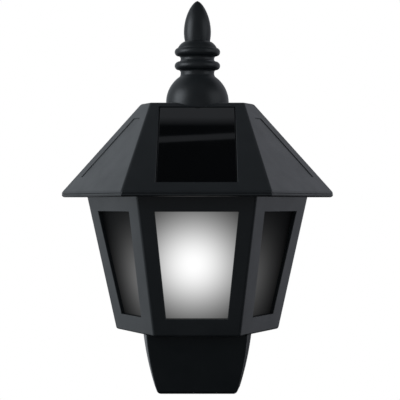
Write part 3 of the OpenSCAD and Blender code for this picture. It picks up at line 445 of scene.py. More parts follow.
@dataclass(frozen=True)
class Finish:
    """A surface of one plain material, with its grain in real millimetres.

    Attributes:
        name: What the real material is.
        colour: Its colour, sRGB.
        worn: The colour where it is rubbed or mottled, sRGB.
        rough: Roughness.
        uneven: How much the roughness varies.
        grain: Size of the surface's grain in millimetres.
        bump: Height of the grain in millimetres.
        cloud: Size of the patches of uneven colour in millimetres.
        metallic: 1 for a metal.
        ior: Index of refraction. A metal keeps Blender's own.
        gloss: Share of the plain specular reflection, 0.5 for all of it.
    """

    name: str
    colour: str
    worn: str
    rough: float = 0.4
    uneven: float = 0.05
    grain: float = 0.5
    bump: float = 0.01
    cloud: float = 18.0
    metallic: float = 0.0
    ior: float = 1.5
    gloss: float = 0.5

    def make(self) -> Material:
        """Makes the material once and returns it."""
        known = bpy.data.materials.get(self.name)
        if known:
            return known
        material = bpy.data.materials.new(self.name)
        material.use_nodes = True
        tree = material.node_tree
        tree.nodes.clear()
        shader = add_node(tree, "ShaderNodeBsdfPrincipled", values={"Metallic": self.metallic})
        if not self.metallic:
            shader.inputs["IOR"].default_value = self.ior
            shader.inputs["Specular IOR Level"].default_value = self.gloss
        self.dress(tree, shader)
        add_node(tree, "ShaderNodeOutputMaterial", links={"Surface": shader.outputs[0]})
        return material

    def dress(self, tree: NodeTree, shader: Node) -> None:
        """Adds the colour, roughness and grain patterns to the shader."""
        place = add_node(tree, "ShaderNodeTexCoord").outputs["Object"]
        patches, grain = (
            add_node(
                tree,
                "ShaderNodeTexNoise",
                links={"Vector": place},
                values={"Scale": 1 / (size * MM), "Detail": detail, "Roughness": share},
            ).outputs["Fac"]
            for size, detail, share in ((self.cloud, 4.0, 0.6), (self.grain, 3.0, 0.55))
        )
        colour = add_node(tree, "ShaderNodeMix", links={"Factor": patches},
                          values={6: linear(self.colour), 7: linear(self.worn)}, data_type="RGBA")
        tree.links.new(colour.outputs[2], shader.inputs["Base Color"])
        rough = add_node(
            tree,
            "ShaderNodeMapRange",
            links={"Value": patches},
            values={"From Min": 0.3, "From Max": 0.7, "To Min": self.rough - self.uneven,
                    "To Max": self.rough + self.uneven},
        )
        tree.links.new(rough.outputs[0], shader.inputs["Roughness"])
        bump = add_node(tree, "ShaderNodeBump", links={"Height": grain},
                        values={"Strength": 1.0, "Distance": self.bump * MM})
        tree.links.new(bump.outputs[0], shader.inputs["Normal"])


@dataclass(frozen=True)
class PaintedGlowPane(Finish):
    """Frosted acrylic with a painted glow: emission that stands in for the light board shining through it.

    Attributes:
        middle: Brightest point of the pane, in millimetres.
        spread: Distance at which the glow has fallen to a third, in millimetres.
        glow: Strength of the painted glow at the brightest point.
    """

    middle: Point = (0.0, -50.0, -24.3)
    spread: float = 23.5
    glow: float = 1.0

    def dress(self, tree: NodeTree, shader: Node) -> None:
        """Adds the painted glow, a bell curve of the distance, to the plain patterns."""
        super().dress(tree, shader)
        place = add_node(tree, "ShaderNodeTexCoord").outputs["Object"]
        away = add_node(tree, "ShaderNodeVectorMath", links={0: place}, values={1: mm(*self.middle)},
                        operation="DISTANCE")
        level = away.outputs["Value"]
        steps = (("DIVIDE", self.spread * MM), ("POWER", 2.0), ("MULTIPLY", -1.0), ("EXPONENT",),
                 ("MULTIPLY", self.glow))
        for operation, *factor in steps:
            level = add_node(tree, "ShaderNodeMath", links={0: level}, values=dict(enumerate(factor, 1)),
                             operation=operation).outputs[0]
        give_off(tree, shader, level)


# Injection-moulded ABS, spark-textured and satin: near black, with a grey sheen at a glancing angle.
# Its texture is too fine to show, so it is drawn at a third of a millimetre.
HOUSING = Finish("satin_black_abs", "#0c1013", "#12171a", rough=0.36, uneven=0.04, grain=0.35, bump=0.006)
# The same plastic from another mould, a little duller, for the cover and the door, with its colour painted
# a little lighter than the housing's so that the dimly lit back still shows
COVER = Finish("matt_black_abs", "#191c1e", "#1f2224", rough=0.46, uneven=0.05, grain=0.5, bump=0.01)
# The same plastic inside the finial as a shaded copy: painted shade, dull and without gloss, so that it
# throws back no highlight
INSIDE_SHADE = Finish("matt_black_abs_inside", "#0c0d0e", "#101112", rough=0.9, uneven=0.03, gloss=0.0)
# Clear resin cast over black cells: a glossy, very even face that mirrors what is above it
SOLAR = Finish(
    "resin_over_black_cells", "#030405", "#050607", rough=0.02, uneven=0.005, grain=9.0, bump=0.0006,
    cloud=40.0,
)
# Amorphous silicon on glass: almost black, a little blue
CELL = Finish("amorphous_silicon", "#06070a", "#0a0c11", rough=0.2, grain=2.0, bump=0.002)
# Frosted acrylic with the glow of the lit light board painted in, white in the middle, and its colour
# painted a dark grey as shade, so that it is grey at the edges
FRONT_PANE = PaintedGlowPane(
    "frosted_acrylic_lit", "#2e2e2d", "#323231", rough=0.6, grain=0.6, bump=0.004, gloss=0.1, glow=1.0,
    middle=(-1.9, -50.0, -24.3),
)
# The same acrylic, painted nearly black as shade, with a painted glow at the edge nearest the light,
# brighter on the left than on the right
LEFT_PANE, RIGHT_PANE = (
    PaintedGlowPane(
        f"frosted_acrylic_{side}", "#060708", "#08090a", rough=0.6, grain=0.6, bump=0.004, gloss=0.03,
        middle=(x, -41.6, -34.0), glow=glow,
    )
    for side, x, glow in (("left", -32.2, 0.15), ("right", 32.2, 0.078))
)
# Moulded white polypropylene: plain, satin and a little warm
REFLECTOR = Finish("white_polypropylene", "#e4e4df", "#dcdcd6", rough=0.4)
# Zinc-plated steel: bright and slightly blue
STEEL = Finish(
    "zinc_plated_steel", "#b9bcbd", "#a2a5a7", rough=0.3, uneven=0.08, grain=0.8, bump=0.003, metallic=1.0
)
# Nickel-plated spring steel: smoother than the screws and slightly yellow
CONTACT = Finish("nickel_plated_spring_steel", "#c9c6bd", "#b8b4aa", rough=0.25, metallic=1.0)
# Closed-cell foam, cut from a sheet: dull, with small pits
FOAM = Finish("closed_cell_foam", "#1b1b1b", "#242424", rough=0.9, grain=0.6, bump=0.08)
# Adhesive tape: dull black and a little uneven
TAPE = Finish("black_adhesive_tape", "#1c1c1d", "#232324", rough=0.7, grain=0.7, bump=0.02)
# Solder mask over glass fibre: deep green and fairly glossy
BOARD = Finish("green_solder_mask", "#12482c", "#16512f", rough=0.3, grain=1.5, bump=0.006)
# The same in white, so that the board throws its light forwards
WHITE_BOARD = Finish("white_solder_mask", "#dcdcd4", "#e4e4de", rough=0.35, grain=1.5, bump=0.006)
# Resin cast over the light chips: pale yellow and glossy
CHIP = Finish("light_chip_resin", "#e8d476", "#efe08f", rough=0.25)
# Moulded epoxy round the components: dark grey and dull
PARTS = Finish("black_epoxy", "#17181a", "#1f2022", rough=0.5)
# Moulded nylon of the switch: dark grey and dull
SWITCH = Finish("grey_nylon", "#2c3136", "#343a3f", rough=0.5)
# Moulded acetal: white and satin
PLUNGER = Finish("white_acetal", "#dedfdd", "#d4d5d2", rough=0.35)
# Soft moulded rubber: black, with next to no sheen
BUTTON = Finish("black_rubbery_tpe", "#0d0e0f", "#131415", rough=0.6, grain=0.4, bump=0.01)
# Shrink wrap round the cell: green and fairly glossy
CELL_WRAP = Finish("green_shrink_wrap", "#2f6b3f", "#37754a", rough=0.3, grain=4.0, bump=0.01)
# Soft PVC round the wires: red and satin
WIRE_RED = Finish("red_pvc_insulation", "#a3262a", "#8f2024", rough=0.4)


class NodeFinish(Enum):
    """Finish of each CAD node that stays, by the node's name."""

    rear_cover = COVER
    battery_door = COVER
    finial_plate = COVER
    finial_screw = STEEL
    solar_tape = TAPE
    solar_board = BOARD
    solar_cells = CELL
    front_pane = FRONT_PANE
    left_pane = LEFT_PANE
    right_pane = RIGHT_PANE
    reflector_tray = REFLECTOR
    light_board = WHITE_BOARD
    light_chips = CHIP
    switch_body = SWITCH
    switch_plunger = PLUNGER
    rear_gasket = FOAM
    door_seal = FOAM
    battery_cell = CELL_WRAP
    battery_contact = CONTACT
    battery_spring = CONTACT
    control_board = BOARD
    control_parts = PARTS
    battery_holder = COVER


def hand_over(piece: Object, finish: Finish, node: str, body: Body = Body.LAMP) -> None:
    """Gives a finished piece its material and its body, and hides the CAD node that it stands for.

    Args:
        piece: The finished piece.
        finish: Its finish.
        node: CAD node that the piece stands for.
        body: Body that it rides on.
    """
    piece.data.materials.clear()
    piece.data.materials.append(finish.make())
    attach(piece, body.value)
    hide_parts(node)
    log.info("%s: %d faces, stands for %s", piece.name, len(piece.data.polygons), node)


def finish_moulding(piece: Object, node: str, angle: float = 35.0) -> None:
    """Shades a moulding of the housing and hands it over for its CAD node."""
    smooth(piece, angle)
    hand_over(piece, HOUSING, node)


# Sub-assemblies


@dataclass
class Roof:
    """Moulded roof with its panel recess and the solar panel.

    Attributes:
        form: Slopes and flat top, above the upright edge.
        parting_z: Height of the line between the roof and the eave plate.
        under: How far the shell is drawn past that line, to be cut there.
        panel_sunk: How deep the panel's face lies below the slope.
        side_border_ridge: Distance from a side slope's sunk panel to the ridge.
        side_border_wall: Distance from that panel to the wall.
        eave_inner: Inner reach of the ring that stands for the eave plate.
    """

    form: SixSided = SixSided(17.2, 71.6, 71.6, 71.2, 29.6, 10.5)
    wall: float = 2.2
    parting_z: float = 16.4
    under: float = 2.0
    eave_z: float = 14.3
    edge_reach: float = 71.6
    panel_w: float = 44.5
    panel_l: float = 69.0
    panel_foot: float = 8.2
    panel_gap: float = 0.4
    panel_sunk: float = 0.5
    panel_round: float = 0.25
    laminate_t: float = 0.8
    recess: float = 3.0
    side_recess: float = 0.4
    side_border_ridge: float = 8.0
    side_border_wall: float = 7.5
    side_lo: float = 26.6
    side_hi: float = 61.7
    ridge_round: float = 1.2
    top_round: float = 1.0
    edge_round: float = 1.0
    corner_round: float = 0.8
    recess_round: float = 0.4
    side_round: float = 0.3
    eave_round: float = 1.55
    bead_round: float = 0.5
    eave_inner: float = 55.8

    def __post_init__(self) -> None:
        """Works out the tilt of the front slope."""
        rise = self.form.top_z - self.form.foot_z
        self.slope = math.atan2(rise, self.form.foot_front - self.form.top_front)

    def on_slope(self, across: float, up: float, out: float = 0.0) -> Vector:
        """Point on or over the front slope, from the middle of its lower edge."""
        cos, sin = math.cos(self.slope), math.sin(self.slope)
        return Vector((across, -self.form.foot_front + up * cos - out * sin,
                       self.form.foot_z + up * sin + out * cos))

    def recess_corners(self) -> list[Vector]:
        """Corners of the panel's recess in the front slope."""
        half = self.panel_w / 2 + self.panel_gap
        ends = (self.panel_foot - self.panel_gap, self.panel_foot + self.panel_l + self.panel_gap)
        return [self.on_slope(x, up) for x in (-half, half) for up in ends]

    def side_corners(self, sign: int) -> list[Vector]:
        """Corners of the sunk panel on one side slope."""
        corners = []
        for z in (self.side_lo, self.side_hi):
            by_wall = (self.form.side(z) * COS60 - self.side_border_wall) / SIN60
            by_ridge = (self.form.side(z) * COS60 - self.form.front(z)) / SIN60 + self.side_border_ridge
            corners += [self.form.on_side_face(sign, along, z) for along in (by_wall, by_ridge)]
        return corners

    def on_eave_corner(self, a: Vector, b: Vector) -> bool:
        """Tells whether an edge is one of the upright front corners of the eave."""
        corner = Vector((self.edge_reach / SIN60 * COS60, -self.edge_reach, 0))
        return all(near(Vector((abs(end.x), end.y, 0)), corner) for end in (a, b))

    def sink(self, corners: list[Vector], depth: float, where: Test) -> None:
        """Sinks a panel into one face of the edited shell."""
        draw_on_face(where, corners)
        shape = bmesh.from_edit_mesh(bpy.context.object.data)
        normal = next(face.normal.copy() for face in shape.faces if face.select)
        extrude(-normal * depth)

    def build_shell(self) -> None:
        """Models the roof moulding."""
        form, roof = self.form, self.form.shell("roof_moulding")
        recess, sides = self.recess_corners(), {sign: self.side_corners(sign) for sign in (-1, 1)}
        with editing(roof):
            form.close(form.top_z)
            pick(Part.EDGE, lambda a, b: max(a.z, b.z) < form.foot_z + CLOSE)
            extrude(Vector((0, 0, self.parting_z - form.foot_z - self.under)))
            clean()
            self.sink(recess, self.recess, lambda c, n: n.y < -0.5 and n.z > 0.5)
            for sign, corners in sides.items():
                self.sink(corners, self.side_recess,
                          lambda c, n: sign * c.x > 0 and sign * n.x > 0.5 and n.z > 0.3)
        give_wall(roof, self.wall)
        soften(roof, [
            (self.ridge_round, form.on_ridge),
            (self.top_round, form.level(form.top_z)),
            (self.edge_round, form.level(form.foot_z)),
            (self.corner_round, self.on_eave_corner),
            (self.recess_round, joins(recess)),
            *((self.side_round, joins(corners)) for corners in sides.values()),
        ])
        trim(roof, (self.parting_z, -1))
        finish_moulding(roof, "roof_shell")

    def build_panel(self) -> None:
        """Models the clear-cast face of the solar panel."""
        out = -self.panel_sunk - self.laminate_t / 2
        face = begin(
            "solar_face",
            bpy.ops.mesh.primitive_cube_add,
            size=1,
            location=self.on_slope(0, self.panel_foot + self.panel_l / 2, out) * MM,
            rotation=(self.slope, 0, 0),
            scale=mm(self.panel_w, self.panel_l, self.laminate_t),
        )
        with editing(face):
            bpy.ops.mesh.select_all(action="SELECT")
            bpy.ops.mesh.bevel(offset=self.panel_round * MM, segments=2, affect="EDGES")
        smooth(face)
        hand_over(face, SOLAR, "solar_laminate")

    def build_eave(self) -> None:
        """Models the ring of the eave plate that shows, with its rounded lower edge."""
        reach = self.edge_reach
        form = SixSided(self.eave_z, reach, reach, self.parting_z, reach, reach)
        eave = form.shell("eave_moulding")
        inwards = self.eave_inner / reach
        with editing(eave):
            pick(Part.EDGE, lambda a, b: max(a.z, b.z) < form.foot_z + CLOSE)
            for move, size in ((0, inwards), (form.top_z - form.foot_z, 1), (0, 1 / inwards)):
                extrude(Vector((0, 0, move)))
                bpy.ops.transform.resize(value=(size, size, 1), center_override=(0, 0, 0))
            clean()
        soften(eave, [
            (self.eave_round, form.level(form.foot_z)),
            (self.bead_round, form.level(form.top_z)),
            (self.corner_round, self.on_eave_corner),
        ])
        trim(eave)
        finish_moulding(eave, "eave_plate")

    def build(self) -> None:
        """Builds the roof's pieces."""
        self.build_shell()
        self.build_eave()
        self.build_panel()


@dataclass
class LanternBody:
    """Moulded lantern body with its three windows.

    Attributes:
        side_shift: How far a side window sits off the middle of its face, towards the wall.
        over: How far the shell is drawn above its top, to be cut there.
    """

    form: SixSided = SixSided(-65.9, 42.56, 42.56, 14.3, 58.0, 58.0)
    wall: float = 2.2
    window_lo: float = -55.6
    window_hi: float = 5.8
    front_lo_w: float = 35.2
    front_hi_w: float = 47.2
    side_lo_w: float = 26.0
    side_hi_w: float = 41.8
    side_shift: float = 0.9
    over: float = 4.0
    ridge_round: float = 1.3
    foot_round: float = 1.5
    window_round: float = 0.35

    def front_window(self) -> list[Vector]:
        """Corners of the front window."""
        rows = ((self.window_lo, self.front_lo_w), (self.window_hi, self.front_hi_w))
        return [Vector((sign * w / 2, -self.form.front(z), z)) for z, w in rows for sign in (-1, 1)]

    def side_window(self, sign: int) -> list[Vector]:
        """Corners of a side window."""
        rows = ((self.window_lo, self.side_lo_w), (self.window_hi, self.side_hi_w))
        return [self.form.on_side_face(sign, self.side_shift + end * w / 2, z)
                for z, w in rows for end in (-1, 1)]

    def build(self) -> None:
        """Models the body."""
        form, top = self.form, self.form.top_z + self.over
        tall = SixSided(form.foot_z, form.foot_side, form.foot_front, top, form.side(top), form.front(top))
        body = tall.shell("lantern_moulding")
        windows = [(self.front_window(), lambda c, n: n.y < -0.9)]
        windows += [(self.side_window(sign), lambda c, n, sign=sign: sign * n.x > 0.8) for sign in (-1, 1)]
        with editing(body):
            tall.close(form.foot_z)
            clean()
            for corners, where in windows:
                draw_on_face(where, corners)
                bpy.ops.mesh.delete(type="FACE")
        give_wall(body, self.wall)
        soften(body, [(self.ridge_round, form.on_ridge), (self.foot_round, form.level(form.foot_z)),
                      *((self.window_round, joins(corners)) for corners, _ in windows)])
        trim(body, (form.top_z, 1))
        finish_moulding(body, "lantern_body")


@dataclass
class Tail:
    """Moulded tail with its curved sides, and the push button under it.

    Attributes:
        side_r: Radius of the curved sides.
        draft: Angle in degrees by which the tail narrows towards its front.
        first_row: Height of the first row above the foot, in radii of the foot's rounding.
        over: How far the shell is drawn above its top, to be cut there.
        button_dish: Width and depth of each step of the button's dished face.
    """

    top_z: float = -65.7
    foot_z: float = -102.4
    top_half: float = 33.2
    foot_half: float = 25.4
    side_r: float = 180.0
    top_depth: float = 36.0
    foot_depth: float = 20.4
    draft: float = 6.0
    wall: float = 2.2
    corner_round: float = 2.0
    ridge_round: float = 1.4
    round_steps: int = 5
    first_row: float = 1.2
    rows: int = 12
    over: float = 3.0
    circle_steps: int = 64
    button_depth: float = 11.4
    button_r: float = 4.6
    button_gap: float = 0.25
    button_foot: float = -102.0
    button_h: float = 3.4
    button_round: float = 0.7
    button_dish: tuple[tuple[float, float], ...] = ((0.6, 0.0), (0.5, 0.12), (1.0, 0.1))

    def half(self, z: float) -> float:
        """Half width on the wall at one height, on an arc through the top and the foot."""
        chord = Vector((self.top_half - self.foot_half, self.top_z - self.foot_z))
        outwards = Vector((chord.y, -chord.x)).normalized()
        middle = Vector((self.top_half + self.foot_half, self.top_z + self.foot_z)) / 2
        centre = middle - outwards * math.sqrt(self.side_r**2 - (chord.length / 2) ** 2)
        return centre.x + math.sqrt(self.side_r**2 - (z - centre.y) ** 2)

    def depth(self, z: float) -> float:
        """Depth in front of the wall at one height."""
        share = (z - self.foot_z) / (self.top_z - self.foot_z)
        return self.foot_depth + (self.top_depth - self.foot_depth) * share

    def corner(self, sign: int, z: float, depth: float) -> Vector:
        """Point on a side at one height and depth."""
        draft = math.radians(self.draft)
        half = self.top_half + (self.half(z) - self.top_half) / math.cos(draft) - depth * math.tan(draft)
        return Vector((sign * half, -depth, z))

    def outer(self, place: Vector, depth: float) -> bool:
        """Tells whether a point is on the outer side at a depth."""
        return near(place, self.corner(1 if place.x > 0 else -1, place.z, depth), FAIRLY_CLOSE)

    def on_foot(self, a: Vector, b: Vector) -> bool:
        """Tells whether an edge is round the foot, behind the wall left out."""
        flat = max(a.z, b.z) < self.foot_z + CLOSE
        ends = all(self.outer(end, self.depth(end.z)) or self.outer(end, -BEHIND) for end in (a, b))
        return flat and ends and min(a.y, b.y) <= 0

    def on_ridge(self, a: Vector, b: Vector) -> bool:
        """Tells whether an edge is on a front ridge, without the foot."""
        return all(self.outer(end, self.depth(end.z)) for end in (a, b)) and not self.on_foot(a, b)

    def build_shell(self) -> None:
        """Models the tail as a tapered box whose rows follow the curved sides."""
        top = self.top_z + self.over
        tail = begin(
            "tail_moulding",
            bpy.ops.mesh.primitive_cube_add,
            size=1,
            location=mm(0, (BEHIND - self.top_depth) / 2, (top + self.foot_z) / 2),
            scale=mm(2 * self.top_half, BEHIND + self.top_depth, top - self.foot_z),
        )
        first = self.foot_z + self.first_row * self.corner_round
        levels = [self.foot_z, *(first + (top - first) * share for share in shares(self.rows)), top]
        with editing(tail):
            for z in levels[1:-1]:
                bisect(Vector((0, 0, z)), Vector((0, 0, 1)))
            for z in levels:
                for sign in (-1, 1):
                    for y, depth in ((-self.top_depth, self.depth(z)), (BEHIND, -BEHIND)):
                        move_point(Vector((sign * self.top_half, y, z)), self.corner(sign, z, depth))
            pick(Part.FACE, lambda middle, normal: normal.y > 0.9 or middle.z > top - CLOSE)
            bpy.ops.mesh.delete(type="FACE")
        give_wall(tail, self.wall)
        rounds = [(self.corner_round, self.on_foot), (self.ridge_round, self.on_ridge)]
        soften(tail, rounds, self.round_steps)
        trim(tail, (self.top_z, 1))
        hole = begin(
            "button_hole",
            bpy.ops.mesh.primitive_cylinder_add,
            vertices=self.circle_steps,
            radius=(self.button_r + self.button_gap) * MM,
            depth=4 * self.wall * MM,
            location=mm(0, -self.button_depth, self.foot_z),
        )
        subtract(tail, hole)
        finish_moulding(tail, "tail_shell")

    def build_button(self) -> None:
        """Models the push button, with a rounded rim and a dished face."""
        cap = begin(
            "push_button",
            bpy.ops.mesh.primitive_cylinder_add,
            vertices=self.circle_steps,
            radius=self.button_r * MM,
            depth=self.button_h * MM,
            location=mm(0, -self.button_depth, self.button_foot + self.button_h / 2),
        )
        with editing(cap):
            pick(Part.EDGE, lambda a, b: max(a.z, b.z) < self.button_foot + CLOSE)
            bpy.ops.mesh.bevel(offset=self.button_round * MM, segments=4, affect="EDGES")
            for width, deep in self.button_dish:
                pick(Part.FACE, lambda middle, normal: normal.z < -0.99)
                bpy.ops.mesh.inset(thickness=width * MM)
                bpy.ops.transform.translate(value=mm(0, 0, deep))
        smooth(cap)
        hand_over(cap, BUTTON, "button_cap", Body.BUTTON)

    def build(self) -> None:
        """Builds the tail's pieces."""
        self.build_shell()
        self.build_button()


@dataclass
class Finial:
    """Turned half-relief finial: dome, neck with two rings, collar and pointed bud.

    Attributes:
        sunk: How far it reaches into the roof.
        relief: Its depth as a share of its half width.
        dome_end: How far outside the neck the dome's arc ends.
        neck_foot: Points between dome and neck, outside the neck and above the dome's middle.
        hollow_up: Height above the dome's middle at which the hollow of the neck starts.
        hollow_down: Distance below the collar at which it ends.
        ring_lead: Points between neck and ring, outside the neck and, in radii of the ring's edge,
            above or below its middle.
        under_collar: How many of the upper ring's points the collar hides.
        tip_wall: Wall at the tip, in thicknesses of the wall.
        tip_crowd: Power that crowds the points of the bud towards its tip.
        spin_over: Angle in degrees by which the turning runs on behind the wall on each side.
    """

    roof: SixSided = Roof.form
    wall: float = 2.2
    sunk: float = 0.6
    relief: float = 0.7
    dome_half: float = 19.1
    dome_z: float = 72.0
    dome_foot_z: float = 60.7
    dome_end: float = 0.5
    dome_steps: int = 22
    neck_half: float = 10.25
    neck_foot: tuple[tuple[float, float], ...] = ((0.15, 16.6), (0.0, 17.2))
    hollow_up: float = 15.0
    hollow_down: float = 1.2
    ring_half: float = 13.87
    ring_edge_r: float = 2.6
    ring_lead: tuple[tuple[float, float], ...] = ((0.0, 1.5), (0.12, 1.3), (0.45, 1.12))
    ring_steps: int = 12
    ring_heights: tuple[float, float] = (94.3, 102.7)
    under_collar: int = 5
    collar_half: float = 11.9
    collar_z: float = 105.0
    collar_h: float = 4.2
    collar_swell: float = 1.4
    collar_steps: int = 10
    waist_half: float = 7.65
    bud_half: float = 8.25
    bud_steps: int = 8
    belly_h: float = 5.8
    tip_z: float = 134.0
    tip_wall: float = 1.6
    tip_swell: float = 1.9
    tip_blunt: float = 0.68
    tip_crowd: float = 0.85
    tip_least: float = 0.3
    tip_steps: int = 21
    spin_steps: int = 56
    spin_over: float = 12.0

    def dome(self, inset: float, start_z: float) -> Outline:
        """Outline of the dome from a start height up to the neck."""
        radius = self.dome_half - inset
        start = math.asin((start_z - self.dome_z) / radius)
        end = math.acos((self.neck_half - inset + self.dome_end) / radius)
        angles = [start + (end - start) * i / self.dome_steps for i in range(self.dome_steps + 1)]
        return [(radius * math.cos(a), self.dome_z + radius * math.sin(a)) for a in angles]

    def ring(self, z: float) -> Outline:
        """Outline of one ring, with small fillets where it meets the neck."""
        edge = self.ring_edge_r
        middle = self.ring_half - edge
        angles = [math.radians(-90 + 180 * i / self.ring_steps) for i in range(self.ring_steps + 1)]
        low = [(self.neck_half + out, z - edge * step) for out, step in self.ring_lead]
        arc = [(middle + edge * math.cos(a), z + edge * math.sin(a)) for a in angles]
        high = [(self.neck_half + out, z + edge * step) for out, step in reversed(self.ring_lead)]
        return low + arc + high

    def crown(self, inset: float) -> Outline:
        """Outline of the collar and the bud, up to the tip."""
        waist_z = self.collar_z + self.collar_h
        belly_z = waist_z + self.belly_h
        top = self.tip_z - self.tip_wall * inset
        points = []
        for t in shares(self.collar_steps):
            swell = (1 - t**self.collar_swell) ** (1 / self.collar_swell)
            half = self.waist_half + (self.collar_half - self.waist_half) * swell
            points.append((half - inset, self.collar_z + self.collar_h * t))
        for t in shares(self.bud_steps):
            half = self.bud_half - (self.bud_half - self.waist_half) * (1 - t) ** 2
            points.append((half - inset, waist_z + self.belly_h * t))
        for t in shares(self.tip_steps):
            up = t**self.tip_crowd
            half = self.bud_half * (1 - up**self.tip_swell) ** self.tip_blunt - inset * (1 - up)
            points.append((max(half, self.tip_least), belly_z + (top - belly_z) * up))
        return points + [(0.0, top)]

    def outlines(self) -> list[Outline]:
        """Outer and inner outline as half width and height."""
        low, high = self.ring_heights
        outer = [(0.0, self.dome_foot_z)] + self.dome(0, self.dome_foot_z)
        outer += [(self.neck_half + out, self.dome_z + up) for out, up in self.neck_foot]
        outer += self.ring(low) + self.ring(high)[: -self.under_collar] + self.crown(0)
        floor = self.roof.top_z + self.wall
        inner = [(0.0, floor)] + self.dome(self.wall, floor)
        hollow = (self.dome_z + self.hollow_up, self.collar_z - self.hollow_down)
        inner += [(self.neck_half - self.wall, z) for z in hollow]
        return [outer, inner + self.crown(self.wall)]

    def draw(self, chain: Outline) -> None:
        """Draws an outline as a chain of edges, from one point that is extruded along it."""
        bpy.ops.mesh.select_mode(type="VERT")
        bpy.ops.mesh.select_all(action="DESELECT")
        bpy.ops.mesh.primitive_circle_add(vertices=3, radius=MM, location=(0, 0, 0))
        bpy.ops.mesh.merge(type="CENTER")
        places = [Vector((half, 0, z)) for half, z in chain]
        bpy.ops.transform.translate(value=places[0] * MM)
        for here, there in zip(places, places[1:]):
            extrude(there - here)

    def build(self) -> None:
        """Spins the outlines, presses them to half relief and cuts them to the wall and the roof."""
        finial = begin("finial_turning", bpy.ops.mesh.primitive_plane_add, size=MM)
        with editing(finial):
            bpy.ops.mesh.select_all(action="SELECT")
            bpy.ops.mesh.delete(type="VERT")
            for chain in self.outlines():
                self.draw(chain)
            over = math.radians(self.spin_over)
            bpy.ops.mesh.select_all(action="SELECT")
            bpy.ops.transform.rotate(value=-over, orient_axis="Z", center_override=(0, 0, 0))
            bpy.ops.mesh.spin(
                steps=self.spin_steps, angle=math.pi + 2 * over, center=(0, 0, 0), axis=(0, 0, 1)
            )
            clean()
            bpy.ops.transform.resize(value=(1, self.relief, 1), center_override=(0, 0, 0))
        trim(finial)
        subtract(finial, self.roof.shrunk(self.sunk).block("roof_tool"))
        finish_moulding(finial, "finial", 40.0)
        # The photograph's panel mirrors no dark arc above its middle, so nothing mirrors the finial
        finial.visible_glossy = False
        # The faces that look inwards get the shaded copy of the plastic: painted shade inside the hollow
        finial.data.materials.append(INSIDE_SHADE.make())
        with editing(finial):
            pick(Part.FACE, lambda middle, normal: middle.x * normal.x + middle.y * normal.y < 0)
            finial.active_material_index = 1
            bpy.ops.object.material_slot_assign()


# Carried-over nodes, stage and light


def dress_nodes() -> None:
    """Gives the CAD nodes that stay their materials."""
    for name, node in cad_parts.items():
        if name.endswith("_screws"):
            finish = STEEL
        elif name.endswith("_wires"):
            finish = WIRE_RED
        elif name in NodeFinish.__members__:
            finish = NodeFinish[name].value
        else:
            continue
        material = finish.make()
        for slot in node.material_slots:
            slot.material = material


@dataclass(frozen=True)
class PaleFloor(Finish):
    """Matt pale floor that the camera sees a little lighter than it is lit."""

    lift: float = 0.35

    def dress(self, tree: NodeTree, shader: Node) -> None:
        """Adds the lift for camera rays to the plain patterns."""
        super().dress(tree, shader)
        seen = add_node(tree, "ShaderNodeLightPath").outputs["Is Camera Ray"]
        lift = add_node(tree, "ShaderNodeMath", links={0: seen}, values={1: self.lift},
                        operation="MULTIPLY")
        give_off(tree, shader, lift.outputs[0])


@dataclass(frozen=True)
class SoftBox:
    """Large soft light far away, by the direction in which it stands.

    Attributes:
        axis: Direction of its middle.
        full: Angle from the axis up to which it has its full level, in degrees.
        gone: Angle from the axis at which it has faded out, in degrees.
        level: Its brightness.
    """

    axis: Point
    full: float
    gone: float
    level: float

    def add(self, tree: NodeTree, direction: NodeSocket) -> NodeSocket:
        """Adds the nodes that give its brightness in each direction."""
        along = add_node(tree, "ShaderNodeVectorMath", links={0: direction},
                         values={1: Vector(self.axis).normalized()}, operation="DOT_PRODUCT")
        gone, full = (math.cos(math.radians(angle)) for angle in (self.gone, self.full))
        return add_node(
            tree,
            "ShaderNodeMapRange",
            links={"Value": along.outputs["Value"]},
            values={"From Min": gone, "From Max": full, "To Max": self.level},
            interpolation_type="SMOOTHSTEP",
        ).outputs[0]


@dataclass(frozen=True)
class LightStrip:
    """Long thin light overhead, which the solar panel mirrors.

    Attributes:
        middle: How far its line of directions leans back, along Y.
        half: Half its width, along Y.
        core: Share of that half which has the full level.
        lean: How much further back it is for each unit to the side.
        level: Its brightness.
    """

    middle: float
    half: float
    core: float
    lean: float
    level: float

    def add(self, tree: NodeTree, direction: NodeSocket) -> NodeSocket:
        """Adds the nodes that give its brightness in each direction."""
        line = add_node(tree, "ShaderNodeVectorMath", links={0: direction}, values={1: (-self.lean, 1, 0)},
                        operation="DOT_PRODUCT")
        off = add_node(tree, "ShaderNodeMath", links={0: line.outputs["Value"]}, values={1: self.middle},
                       operation="SUBTRACT")
        away = add_node(tree, "ShaderNodeMath", links={0: off.outputs[0]}, operation="ABSOLUTE")
        return add_node(
            tree,
            "ShaderNodeMapRange",
            links={"Value": away.outputs[0]},
            values={"From Min": self.half, "From Max": self.half * self.core, "To Max": self.level},
            interpolation_type="SMOOTHSTEP",
        ).outputs[0]


@dataclass(frozen=True)
class SoftLamp:
    """Square soft lamp.

    Attributes:
        name: Name of the lamp.
        place: Where it is, in millimetres.
        aim: What it points at, in millimetres.
        size: Side of its face, in millimetres.
        power: Power in watts.
    """

    name: str
    place: Point
    aim: Point
    size: float
    power: float

    def build(self, tint: Point) -> None:
        """Adds the lamp in one colour."""
        data = bpy.data.lights.new(self.name, "AREA")
        data.size, data.energy, data.color = self.size * MM, self.power, tint
        lamp = bpy.data.objects.new(self.name, data)
        lamp.location = mm(*self.place)
        lamp.rotation_euler = (mm(*self.aim) - mm(*self.place)).to_track_quat("-Z", "Y").to_euler()
        bpy.context.scene.collection.objects.link(lamp)


